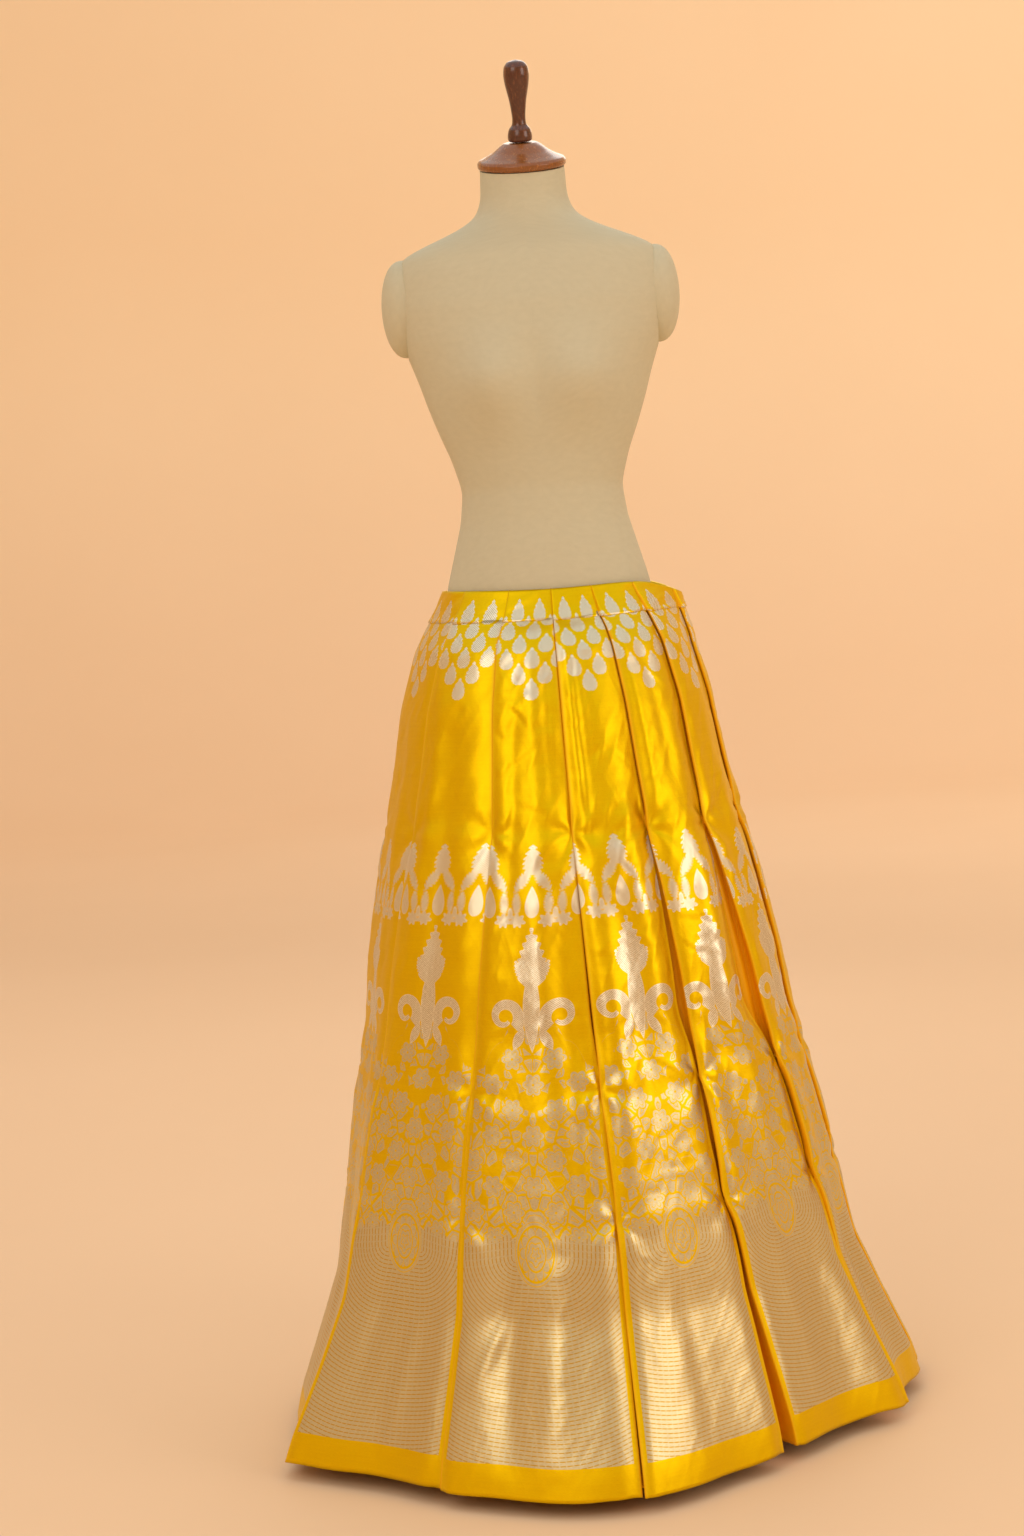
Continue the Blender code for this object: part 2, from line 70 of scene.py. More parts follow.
def make_camera():
    """A camera from its place and three angles: down, to the right, and rolled about its own view."""
    ahead = Vector((math.sin(CAMERA_YAW) * math.cos(CAMERA_DOWN),
                    math.cos(CAMERA_YAW) * math.cos(CAMERA_DOWN), -math.sin(CAMERA_DOWN)))
    right = Vector((math.cos(CAMERA_YAW), -math.sin(CAMERA_YAW), 0.0))
    up = right.cross(ahead)
    rolled_right = math.cos(CAMERA_ROLL) * right + math.sin(CAMERA_ROLL) * up
    rolled_up = -math.sin(CAMERA_ROLL) * right + math.cos(CAMERA_ROLL) * up
    axes = Matrix((rolled_right, rolled_up, -ahead)).transposed()
    data = bpy.data.cameras.new("camera")
    data.sensor_width, data.lens = LONG_SIDE_MM, LENS_MM
    camera = add_object("camera", data)
    camera.matrix_world = Matrix.Translation(CAMERA_PLACE) @ axes.to_4x4()
    bpy.context.scene.camera = camera
    return camera


camera = make_camera()
print("camera looks along", [round(x, 3) for x in -camera.matrix_world.col[2].xyz])

# %% [markdown]
# ## Grids of points
#
# Every new piece here is a surface with two directions, such as round and up. numpy works out all its
# points at once as an array of rows and columns. One helper then turns the array into a mesh, with
# faces between neighbours and a UV map in real metres, so that a woven pattern keeps its size. On cloth
# it also stores at each point how far in from the fold edge that point is.

# %% From a grid to a mesh
BODY = "root"


def grid_faces(rows, columns, round_too=False, ends=()):
    """Corner numbers of the faces between neighbours. With round_too the last column joins the first.
    ends lists the rows that a single face closes."""
    row, column = np.meshgrid(np.arange(rows - 1), np.arange(columns - (not round_too)), indexing="ij")
    nearer, further = row * columns + column, row * columns + (column + 1) % columns
    faces = np.stack([nearer, further, further + columns, nearer + columns], axis=-1).reshape(-1, 4).tolist()
    for row in ends:
        ring = list(range(row * columns, (row + 1) * columns))
        faces.append(ring[::-1] if row == 0 else ring)
    return faces


def put_mesh(name, points, faces):
    """A smooth mesh object from points (..., 3) and the point numbers of each face."""
    mesh = bpy.data.meshes.new(name)
    mesh.from_pydata(points.reshape(-1, 3).tolist(), [], faces)
    mesh.shade_smooth()
    return add_object(name, mesh)


def put_grid(name, points, uv=None, inset=None, round_too=False, ends=()):
    """Make a mesh object from points (rows, columns, 3). uv is (rows, columns, 2), with one column more
    where the piece closes round. inset is one number a point."""
    made = put_mesh(name, points, grid_faces(*points.shape[:2], round_too, ends))
    if uv is not None:
        corners = np.stack([uv[:-1, :-1], uv[:-1, 1:], uv[1:, 1:], uv[1:, :-1]], axis=2).reshape(-1, 2)
        flat = np.zeros((len(made.data.loops), 2), np.float32)
        flat[:len(corners)] = corners
        made.data.uv_layers.new(name="metres").data.foreach_set("uv", flat.ravel())
    if inset is not None:
        layer = made.data.attributes.new("inset", "FLOAT", "POINT")
        layer.data.foreach_set("value", inset.astype(np.float32).ravel())
    return made


def finish_piece(piece, finishes, nodes=()):
    """Give a piece its materials and its body, and hide the solids that it stands for."""
    for finish in finishes:
        piece.data.materials.append(finish)
    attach(piece, BODY)
    if nodes:
        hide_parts(*nodes)


def cloth_wall(piece, thickness):
    """Turn a sheet into a wall with an inside, which takes the piece's second material."""
    wall = piece.modifiers.new("wall", "SOLIDIFY")
    wall.thickness, wall.offset, wall.use_even_offset = thickness, 0.0, True
    wall.material_offset = 1


def smooth_step(x):
    """0 below 0, 1 above 1, and 3x^2 - 2x^3 between."""
    x = np.clip(x, 0, 1)
    return x * x * (3 - 2 * x)


def soften(lines, step, reach):
    """Smooth an array along its first axis: each value becomes the average of those around it, weighed by
    exp(-(distance / reach)^2), up to three reaches away. The ends are carried on in a mirror, so they
    stay in place."""
    count = max(1, int(3 * reach / step))
    before = 2 * lines[:1] - lines[count:0:-1]
    after = 2 * lines[-1:] - lines[-2:-2 - count:-1]
    long = np.concatenate([before, lines, after])
    away = np.arange(-count, count + 1) * step
    weights = np.exp(-(away / reach) ** 2)
    weights /= weights.sum()
    return sum(w * long[i:i + len(lines)] for i, w in enumerate(weights))


def arc_length(points):
    """Distance along each line of points (..., steps, 3), from its first point."""
    steps = np.linalg.norm(np.diff(points, axis=-2), axis=-1)
    return np.concatenate([0 * steps[..., :1], np.cumsum(steps, axis=-1)], axis=-1)


def whole_turn(steps):
    """Angles of equal steps once round."""
    return np.arange(steps) * math.tau / steps


def lathe(line, angle):
    """Points of a body of revolution from its (radius, height) line, at angles from the front."""
    return np.dstack([line[:, :1] * np.sin(angle), -line[:, :1] * np.cos(angle), line[:, 1:] + 0 * angle])


print("grid helper ready:", len(grid_faces(3, 4)), "faces between 3 rows of 4 points")

# %% [markdown]
# ## The plan of the skirt
#
# These are the skirt's driving sizes, in metres and degrees. An angle is measured round the skirt from
# the front towards the wearer's left. The outline gives the skirt's half width at each height, and the
# pleat table says where each pleat runs and how far it stands open. Tables like these are how a
# pattern cutter notes a design: a row for each pleat, a column for each thing that can differ.

# %% Driving sizes of the skirt
HEM_Z, SKIRT_TOP_Z, BAND_TOP_Z, BAND_HEIGHT = 0.020, 1.0315, 1.067, 0.034
LAYER = 0.0026              # from one layer of a pressed fold to the next
CLOTH, SEAM_GAP = 0.0014, 0.0003
WAIST_DIP = 0.0045          # how much lower the waist sits at the front
TACK_Z = (0.770, 0.470, 0.320)
GAP_AT_TACK = 0.0007
GAP_Z = (HEM_Z, 0.140, TACK_Z[2], 0.395, TACK_Z[1], 0.550, TACK_Z[0], 0.900, SKIRT_TOP_Z)
CLOSER_Z, CLOSER_SHARE = (0.70, 0.80, 1.0315), (1.0, 0.50, 0.60)
NARROW_BELOW, NARROW_SHARE = 0.026, 0.50
REACH_POWER, FLARE_EASE = 2.5, 0.6

OUTLINE_Z, HALF_WIDTH, DEPTH_SHARE = np.array([
    # z, half_width, depth_share
    (0.020, 0.424, 1.00), (0.050, 0.414, 1.00), (0.130, 0.377, 1.00), (0.210, 0.343, 1.00),
    (0.290, 0.327, 1.00), (0.370, 0.311, 1.00), (0.450, 0.294, 1.00), (0.530, 0.274, 0.99),
    (0.600, 0.265, 0.98), (0.685, 0.249, 0.96), (0.765, 0.231, 0.94), (0.840, 0.213, 0.91),
    (0.920, 0.198, 0.87), (0.995, 0.174, 0.83), (1.040, 0.146, 0.80),
]).T

PLEATS = np.array([
    # waist_deg, upper_deg, lower_deg, hem_deg, hem_reach, step_top, step_hem,
    #                                              gap_top, gap_upper, gap_middle, gap_lower, gap_hem
    (-58.0, -57.0, -61.0, -61.7, 1.050, 0.002, 0.002, 0.0010, 0.002, 0.006, 0.003, 0.010),
    (-28.0, -24.0, -29.5, -29.3, 0.941, 0.002, 0.002, 0.0010, 0.002, 0.005, 0.003, 0.006),
    (1.5, 2.7, 6.2, 6.3, 0.993, 0.002, 0.002, 0.0010, 0.002, 0.007, 0.004, 0.010),
    (29.5, 28.2, 34.0, 41.6, 0.842, 0.004, -0.008, 0.0012, 0.002, 0.014, 0.007, 0.027),
    (57.5, 51.5, 66.5, 76.3, 0.942, 0.005, -0.018, 0.0012, 0.002, 0.038, 0.005, 0.026),
    (82.0, 77.0, 88.0, 98.0, 1.005, 0.004, 0.002, 0.0012, 0.003, 0.014, 0.006, 0.022),
    (111.0, 111.0, 119.0, 127.0, 0.985, 0.003, -0.004, 0.0010, 0.003, 0.020, 0.006, 0.024),
    (142.0, 143.0, 149.0, 155.0, 1.010, 0.002, 0.002, 0.0010, 0.003, 0.008, 0.004, 0.012),
    (174.0, 175.0, 179.0, 183.0, 0.975, 0.002, 0.004, 0.0010, 0.003, 0.022, 0.007, 0.030),
    (206.0, 207.0, 210.0, 212.0, 1.000, 0.002, -0.003, 0.0010, 0.002, 0.009, 0.003, 0.010),
    (238.0, 239.0, 240.0, 241.0, 0.960, 0.003, 0.004, 0.0010, 0.003, 0.016, 0.006, 0.028),
    (270.0, 271.0, 270.0, 269.0, 0.930, 0.002, 0.002, 0.0010, 0.003, 0.011, 0.004, 0.014),
])
KALI_FACES = np.array([
    # bulge_middle, bulge_hem, ripple_hem, ripple_turns
    (0.010, -0.008, 0.004, 1.0), (0.012, 0.021, -0.004, 1.0), (0.013, 0.002, 0.005, 1.0),
    (0.014, -0.011, 0.003, 1.5), (0.006, -0.002, -0.004, 1.0), (0.006, 0.010, 0.006, 1.5),
    (0.010, 0.010, 0.006, 1.0), (0.012, 0.016, 0.007, 1.5), (0.011, 0.008, 0.006, 1.0),
    (0.012, 0.014, 0.005, 1.5), (0.010, 0.012, 0.006, 1.0), (0.004, -0.012, 0.003, 1.0),
])
BULGE_TOP, BULGE_MIDDLE_SHARE, RIPPLE_POWER = 0.0045, 0.30, 1.3
KALIS = len(PLEATS)

RETURN_Z, RETURN_BACK, RETURN_DEEP = np.array([
    # z, back, deep
    (0.020, 0.006, 0.036), (0.320, 0.008, 0.022), (0.470, 0.010, 0.016),
    (0.610, 0.010, 0.014), (0.770, 0.010, 0.006), (1.0315, 0.009, 0.0026),
]).T
OPEN_TAKES_BACK, OPEN_TAKES_DEEP, RETURN_LEAST = 0.15, 0.10, 0.004

PLACKET_DEG, PLACKET_SPREAD_DEG, PLACKET_POWER, PLACKET_DROP = 88.0, 14.0, 1.4, 0.020
PLACKET_Z, PLACKET_OUT = np.array([(0.900, 0.0), (0.985, 0.005), (1.0315, 0.019), (1.067, 0.034)]).T
print("skirt:", KALIS, "kalis,", round(SKIRT_TOP_Z - HEM_Z, 3), "m from seam to hem")

# %% [markdown]
# ## Lines of the skirt
#
# A pleat's line is found from its angle and the skirt's radius at each height. The radius is that of an
# ellipse, because a waist is wider than it is deep. On each side of the line stands the fold edge of
# one panel. Behind that edge the cloth turns back under the panel and then goes in to the seam.
# All the functions take a whole array of heights and give a point for each.

# %% Pleat lines and fold edges
def round_unit(degrees):
    """Unit vectors outwards (sin, -cos) and along the round (cos, sin) at an angle from the front."""
    angle = np.radians(degrees)
    return (np.stack([np.sin(angle), -np.cos(angle)], axis=-1),
            np.stack([np.cos(angle), np.sin(angle)], axis=-1))


def around(points):
    """Degrees from the front and radius of points, seen from above."""
    return np.degrees(np.arctan2(points[..., 0], -points[..., 1])), np.hypot(points[..., 0], points[..., 1])


def half_turns(degrees):
    """The same angles, as -180 to 180."""
    return (degrees + 180) % 360 - 180


def push_out(points, distance):
    """Move points away from the skirt's axis."""
    points[..., :2] *= (1 + distance / around(points)[1])[..., None]


def share_up(z):
    """0 at the hem, 1 at the skirt's top."""
    return (z - HEM_Z) / (SKIRT_TOP_Z - HEM_Z)


def pleat_line(pleat, z):
    """A pleat's place at heights z: the ellipse's radius, times a reach that grows towards the hem."""
    waist, upper, lower, hem, hem_reach = PLEATS[pleat, :5]
    degrees = np.interp(z, (TACK_Z[2], TACK_Z[0], SKIRT_TOP_Z), (lower, upper, waist))
    below = np.maximum(0.0, (TACK_Z[2] - z) / (TACK_Z[2] - HEM_Z))
    degrees = degrees + (hem - lower) * below ** FLARE_EASE
    outwards, along = round_unit(degrees)
    wide, deep = np.interp(z, OUTLINE_Z, HALF_WIDTH), np.interp(z, OUTLINE_Z, DEPTH_SHARE)
    radius = wide / np.hypot(outwards[:, 0], outwards[:, 1] / deep)
    radius = radius * (1 + (hem_reach - 1) * (1 - share_up(z)) ** REACH_POWER)
    return radius[:, None] * outwards, outwards, along


def pleat_gap(pleat, z):
    """Clear width of a pleat's mouth: shut at the tacks, open between them. From the first tack up the
    cloth's rolled edges lie closer than the plain solids do, and so do those of the narrow pleats."""
    top, upper, middle, lower, hem = PLEATS[pleat, 7:]
    widths = (hem, (hem + lower) / 2, GAP_AT_TACK, lower, GAP_AT_TACK, middle, GAP_AT_TACK, upper, top)
    gap = np.interp(z, GAP_Z, widths) * np.interp(z, CLOSER_Z, CLOSER_SHARE)
    return gap * (NARROW_SHARE + (1 - NARROW_SHARE) * smooth_step(gap / NARROW_BELOW))


def fold_edge(pleat, side, z):
    """The fold edge beside a pleat, of the panel after it (side 1) or before it (side -1)."""
    line, outwards, along = pleat_line(pleat, z)
    step = np.interp(z, (HEM_Z, TACK_Z[2]), (PLEATS[pleat, 6], PLEATS[pleat, 5]))
    back_off = CLOTH / 2 if side == 1 else -CLOTH / 2 - pleat_gap(pleat, z)
    return line + along * np.reshape(back_off, (-1, 1)) + outwards * (side * step / 2)[:, None]


def panel_face(kali, steps, z):
    """Points of a panel's face, steps by heights: the chord between its edges, plus a parabola that
    swells it, plus a sine wave that ripples it more towards the hem."""
    left, right = fold_edge(kali, 1, z), fold_edge((kali + 1) % KALIS, -1, z)
    chord = right - left
    out = np.stack([chord[:, 1], -chord[:, 0]], axis=1) / np.hypot(*chord.T)[:, None]
    bulge_middle, bulge_hem, ripple_hem, turns = KALI_FACES[kali]
    share = 1 - share_up(z)
    bulge = np.interp(share, (0.0, BULGE_MIDDLE_SHARE, 1.0), (BULGE_TOP, bulge_middle, bulge_hem))
    wave = np.sin(math.tau * turns * steps) * np.sin(math.pi * steps)
    offset = 4 * bulge * steps * (1 - steps) + ripple_hem * share ** RIPPLE_POWER * wave
    return left + steps[..., None] * chord + offset[..., None] * out, out


# %% Behind the fold edge
NEAR_STEP, FACE_STEP = 0.001, 0.05


def beside(pleat, side, step, z):
    """The panel at one side of a pleat: its fold edge, and its face a small step of its width further."""
    kali, ends = (pleat, (0.0, step)) if side == 1 else ((pleat - 1) % KALIS, (1.0, 1.0 - step))
    return panel_face(kali, np.array(ends)[:, None] + 0 * z, z)[0]


def pleat_return(pleat, side, z):
    """Where the cloth turns behind a fold edge: first a layer in, then back under the panel."""
    _, outwards, _ = pleat_line(pleat, z)
    edge, near = beside(pleat, side, NEAR_STEP, z)
    away = (near - edge) / np.hypot(*(near - edge).T)[:, None]
    gap = pleat_gap(pleat, z)
    back = np.maximum(np.interp(z, RETURN_Z, RETURN_BACK) - OPEN_TAKES_BACK * gap, RETURN_LEAST)
    deep = np.maximum(np.interp(z, RETURN_Z, RETURN_DEEP) - OPEN_TAKES_DEEP * gap, LAYER)
    return edge - outwards * LAYER, edge + away * back[:, None] - outwards * deep[:, None]


def half_pleat(pleat, side, z):
    """The four corners of the cloth behind an edge: behind it, the turn, under it, and the seam."""
    line, outwards, along = pleat_line(pleat, z)
    behind, turn = pleat_return(pleat, side, z)
    turns = [pleat_return(pleat, way, z)[1] for way in (1, -1)]
    depth = LAYER + np.max([((line - t) * outwards).sum(1) for t in turns], axis=0)
    aside = (side * SEAM_GAP - pleat_gap(pleat, z)) / 2
    seam = line - outwards * depth[:, None] + along * aside[:, None]
    way = along * side
    under = seam + way * ((turn - seam) * way).sum(1)[:, None]
    return behind, turn, under, seam


heights = np.array([HEM_Z, 0.55, SKIRT_TOP_Z])
print("pleat 5 stands open by", (1000 * pleat_gap(4, heights)).round(1), "mm at hem, middle and waist")

# %% [markdown]
# ## One kali as a sheet
#
# A sharp corner would look like folded card. Real cloth turns in a small loop, so each corner of the
# line is replaced by a quadratic Bezier curve. The whole section of a kali, from seam to seam, is then
# one smooth line at every height. Placing the lines above each other gives the sheet.
# The distance along each line is kept as well. It tells the material how far a point is from the
# middle of the panel and from its fold edge, as a weaver counts threads.

# %% Round the corners
CORNER_CUT = {"under": 0.004, "turn": 0.0022, "behind": 0.0013, "edge": 0.0015}
LONGEST_CUT = 0.45          # of an arm of the corner
BETWEEN = (0.35, 0.65)      # where two more points lie on the way from the turn to behind the edge
BEND_POINTS, EDGE_POINTS = 4, 5


def bend(before, corner, after, cut, steps):
    """Points round one corner: the quadratic Bezier curve that leaves the line `cut` before the corner
    and comes back to it `cut` after, or LONGEST_CUT along an arm that is short."""
    t = np.linspace(0, 1, steps)[:, None, None]
    ends = []
    for other in (before, after):
        arm = other - corner
        ends.append(corner + arm * np.minimum(cut / np.hypot(*arm.T), LONGEST_CUT)[:, None])
    return (1 - t) ** 2 * ends[0] + 2 * t * (1 - t) * corner + t ** 2 * ends[1]


def folded_side(pleat, side, z):
    """The cloth from the seam out to the fold edge's far end, corner by corner."""
    behind, turn, under, seam = half_pleat(pleat, side, z)
    edge, face = beside(pleat, side, FACE_STEP, z)
    between = turn + (behind - turn) * np.array(BETWEEN)[:, None, None]
    return np.concatenate([
        seam[None],
        bend(seam, under, turn, CORNER_CUT["under"], BEND_POINTS),
        bend(under, turn, behind, CORNER_CUT["turn"], BEND_POINTS),
        between,
        bend(turn, behind, edge, CORNER_CUT["behind"], BEND_POINTS),
        bend(behind, edge, face, CORNER_CUT["edge"], EDGE_POINTS),
    ])


def kali_lines(kali, face_columns, z):
    """A kali's section at every height: points (columns, heights, 2), each column's step across the
    face, the numbers of the two edge columns, and the face's outward direction."""
    width = np.hypot(*(fold_edge((kali + 1) % KALIS, -1, z) - fold_edge(kali, 1, z)).T)
    first = CORNER_CUT["edge"] / width
    t = np.linspace(0, 1, face_columns)[1:-1, None]
    steps = first + t * (1 - 2 * first)
    face, out = panel_face(kali, steps, z)
    left, right = folded_side(kali, 1, z), folded_side((kali + 1) % KALIS, -1, z)[::-1]
    lines = np.concatenate([left, face, right])
    zeros = np.zeros((len(left), len(z)))
    across = np.concatenate([zeros, steps, zeros + 1])
    middle = EDGE_POINTS // 2
    return lines, across, (len(left) - 1 - middle, len(lines) - len(right) + middle), out


print("a fold side has", len(folded_side(2, 1, heights)), "points across")

# %% [markdown]
# ## Creases, wrinkles and tacks
#
# Silk that has been folded and hung keeps marks. They are made here as heights added to the sheet. A
# crease is a soft trough or ridge along a slanted line, with the profile of a bell curve. A pinch is the
# dimple at a tack, with short wrinkles that fan out from it. Towards a fold edge the cloth rolls in.
# Small creases fall at random, and a crumple is a smooth random field, for the unevenness of hand-woven
# silk. Cloth simulation could make all of these, but then nobody could say where a crease falls. The
# large ones are listed in the table.

# %% Creases
CREASES = np.array([
    # kali, low, high, at_low, at_high, half_width, depth
    (0, 0.03, 0.34, 0.30, 0.42, 0.020, 0.0040), (0, 0.02, 0.20, 0.62, 0.66, 0.014, -0.0030),
    (0, 0.40, 0.90, 0.55, 0.48, 0.016, 0.0035), (0, 0.55, 0.95, 0.20, 0.28, 0.010, -0.0020),
    (1, 0.02, 0.30, 0.36, 0.30, 0.022, 0.0055), (1, 0.02, 0.26, 0.60, 0.66, 0.020, -0.0045),
    (1, 0.26, 0.72, 0.84, 0.80, 0.015, 0.0065), (1, 0.30, 0.80, 0.58, 0.56, 0.018, -0.0030),
    (1, 0.62, 0.96, 0.24, 0.34, 0.009, 0.0022), (1, 0.10, 0.24, 0.12, 0.42, 0.010, -0.0025),
    (2, 0.28, 0.66, 0.14, 0.20, 0.018, -0.0050), (2, 0.30, 0.78, 0.46, 0.42, 0.020, 0.0050),
    (2, 0.45, 0.86, 0.78, 0.70, 0.014, -0.0030), (2, 0.68, 0.98, 0.30, 0.36, 0.010, 0.0024),
    (2, 0.02, 0.30, 0.48, 0.44, 0.016, 0.0020), (2, 0.66, 0.80, 0.36, 0.86, 0.009, -0.0022),
    (2, 0.72, 1.04, 0.13, 0.12, 0.007, -0.0020), (2, 0.72, 1.04, 0.33, 0.30, 0.007, -0.0018),
    (2, 0.70, 1.00, 0.23, 0.21, 0.005, 0.0014), (3, 0.72, 1.02, 0.14, 0.12, 0.008, -0.0020),
    (1, 0.72, 1.04, 0.62, 0.56, 0.010, -0.0016), (1, 0.74, 1.02, 0.80, 0.78, 0.006, 0.0014),
    (3, 0.26, 0.76, 0.52, 0.60, 0.016, -0.0060), (3, 0.30, 0.72, 0.24, 0.30, 0.018, 0.0045),
    (3, 0.02, 0.32, 0.34, 0.40, 0.022, -0.0050), (3, 0.02, 0.28, 0.66, 0.74, 0.024, 0.0040),
    (3, 0.76, 0.98, 0.52, 0.44, 0.010, 0.0022),
    (4, 0.04, 0.44, 0.40, 0.46, 0.016, 0.0035), (4, 0.40, 0.92, 0.60, 0.48, 0.014, -0.0030),
    (4, 0.02, 0.22, 0.74, 0.66, 0.018, -0.0035),
    (5, 0.02, 0.40, 0.34, 0.42, 0.022, 0.0050), (5, 0.30, 0.80, 0.62, 0.54, 0.018, -0.0040),
    (6, 0.02, 0.36, 0.60, 0.52, 0.024, 0.0050), (6, 0.36, 0.90, 0.30, 0.40, 0.016, -0.0035),
    (7, 0.02, 0.44, 0.42, 0.36, 0.020, -0.0050), (7, 0.30, 0.82, 0.70, 0.62, 0.018, 0.0045),
    (7, 0.60, 0.96, 0.28, 0.36, 0.010, 0.0022), (8, 0.02, 0.38, 0.30, 0.40, 0.024, 0.0050),
    (8, 0.32, 0.84, 0.56, 0.50, 0.018, -0.0045), (8, 0.02, 0.24, 0.74, 0.68, 0.016, -0.0035),
    (9, 0.04, 0.48, 0.58, 0.50, 0.022, 0.0050), (9, 0.40, 0.92, 0.26, 0.34, 0.014, -0.0030),
    (10, 0.02, 0.36, 0.36, 0.44, 0.022, -0.0050), (10, 0.34, 0.86, 0.66, 0.58, 0.018, 0.0045),
    (11, 0.02, 0.42, 0.44, 0.38, 0.020, 0.0040), (11, 0.40, 0.92, 0.66, 0.60, 0.014, -0.0030),
])
EDGE_CALM, CREASE_FADE = 0.012, 0.8     # creases fade out this close to a fold edge, and at their ends


def crease_relief(kali, across, width, up):
    """Sum of the kali's creases. Each is -depth * exp(-(distance from its line / half_width)^2), and
    fades at both ends as a half sine wave."""
    relief = np.zeros_like(across)
    for low, high, at_low, at_high, half_width, depth in CREASES[CREASES[:, 0] == kali, 1:]:
        share = np.clip((up - low) / (high - low), 0, 1)
        away = (across - at_low - (at_high - at_low) * share) * width
        relief -= depth * np.exp(-(away / half_width) ** 2) * np.sin(math.pi * share) ** CREASE_FADE
    return relief


# %% Pinches at the tacks, and rolled edges
PINCH_REACH, PINCH_DEPTH, PINCH_WRINKLE, PINCH_RAYS, PINCH_FADE = 0.026, 0.0032, 0.0038, 5, 1.5
PINCH_TURN_KALI, PINCH_TURN_TACK = 1.7, 1.3     # how far the rays turn from kali to kali and tack to tack
EDGE_ROLL_Z, ROLL_LEFT, ROLL_RIGHT = np.array([
    # z, depth at a left edge, depth at a right edge
    (0.020, 0.0040, 0.0075), (0.320, 0.0035, 0.0065), (0.600, 0.0030, 0.0060),
    (0.770, 0.0022, 0.0040), (0.900, 0.0016, 0.0026), (1.0315, 0.0010, 0.0014),
]).T
ROLL_REACH_LEFT, ROLL_REACH_RIGHT = 0.008, 0.015


def roll_relief(from_left, from_right, z):
    """Cloth sinks softly towards a fold edge: -depth * exp(-(distance / reach)^2), more at the right
    edge of each kali, which rolls into its pleat. The cloth behind the edge sinks with it."""
    left = np.interp(z, EDGE_ROLL_Z, ROLL_LEFT) * np.exp(-(from_left / ROLL_REACH_LEFT) ** 2)
    right = np.interp(z, EDGE_ROLL_Z, ROLL_RIGHT) * np.exp(-(from_right / ROLL_REACH_RIGHT) ** 2)
    return -left - right


def pinch_relief(inset, z, kali):
    """A dimple round each tack, -depth * exp(-(r / reach)^2), and wrinkles that fan out from it as
    cos(rays * angle), strongest a little way from the stitch."""
    relief = np.zeros_like(inset)
    for number, tack in enumerate(TACK_Z):
        r, angle = np.hypot(inset, z - tack) / PINCH_REACH, np.arctan2(z - tack, inset)
        fan = np.cos(PINCH_RAYS * angle + PINCH_TURN_KALI * kali + PINCH_TURN_TACK * number)
        relief += -PINCH_DEPTH * np.exp(-r ** 2) + PINCH_WRINKLE * fan * r * np.exp(-r ** PINCH_FADE)
    return relief


# %% Small creases
FINE_COUNT, FINE_SEED = 90, 300
FINE_RANGES = np.array([
    # across, up, turn in degrees, half_long, half_wide, deep
    (-0.55, 0.22, -50.0, 0.009, 0.0026, 0.0004),
    (0.55, 1.00, 50.0, 0.028, 0.0046, 0.0023),
])


def fine_relief(kali, along, up, width):
    """Short creases at random, each dark on one side and bright on the other: deep * (d / wide) *
    exp(-(d / wide)^2), with d the distance from its line, and fading along it as exp(-(s / long)^2)."""
    relief = np.zeros_like(along)
    draws = np.random.default_rng(FINE_SEED + kali).uniform(*FINE_RANGES, (FINE_COUNT, 6))
    for across, rise, turn, long, wide, deep in draws:
        x, y = along - across * width, up - rise * up.max()
        c, s = math.cos(math.radians(turn)), math.sin(math.radians(turn))
        s_away, d_away = (x * c + y * s) / long, (y * c - x * s) / wide
        relief += deep * d_away * np.exp(-d_away ** 2 - s_away ** 2)
    return relief


# %% Crumples
LATTICE, LATTICE_START, RIDGE_POWER = (64, 128), (32.0, 4.0), 0.7


def ridged(field):
    """Sharp creases from a smooth field: 1 - 2 |field|^p is highest, and sharp, where it crosses 0."""
    return 1 - 2 * np.abs(field) ** RIDGE_POWER


def crumple(seed, x, y, size):
    """A smooth random field from -1 to 1: random numbers on a lattice of squares, blended between the
    four nearest by smooth steps."""
    numbers = np.random.default_rng(seed).uniform(-1, 1, LATTICE)
    column, row = x / size + LATTICE_START[0], y / size + LATTICE_START[1]
    i, j = np.floor(column).astype(int) % LATTICE[0], np.floor(row).astype(int) % LATTICE[1]
    i_next, j_next = (i + 1) % LATTICE[0], (j + 1) % LATTICE[1]
    a, b = smooth_step(column % 1.0), smooth_step(row % 1.0)
    near = numbers[i, j] * (1 - a) + numbers[i_next, j] * a
    far = numbers[i, j_next] * (1 - a) + numbers[i_next, j_next] * a
    return near * (1 - b) + far * b


print("creases:", len(CREASES), "by hand, and", KALIS * len(TACK_Z), "tacks")

# %% [markdown]
# ## Node arithmetic
#
# The brocade's pattern is pure arithmetic: leaves, drops and arcs are formulas in two directions.
# Writing each Math node by hand would hide that. So one small class wraps a socket, and ordinary
# Python signs between wrapped sockets add the nodes. A plain number may stand on either side.

# %% A value in a node tree
THREAD_SOFT = 0.0005        # a few threads wide


def math_method(operation, swapped=False):
    """A method that adds one Math node. swapped puts the wire last, as in 1 - wire."""
    def method(wire, *others):
        return wire.math(operation, *((*others, wire) if swapped else (wire, *others)))
    return method


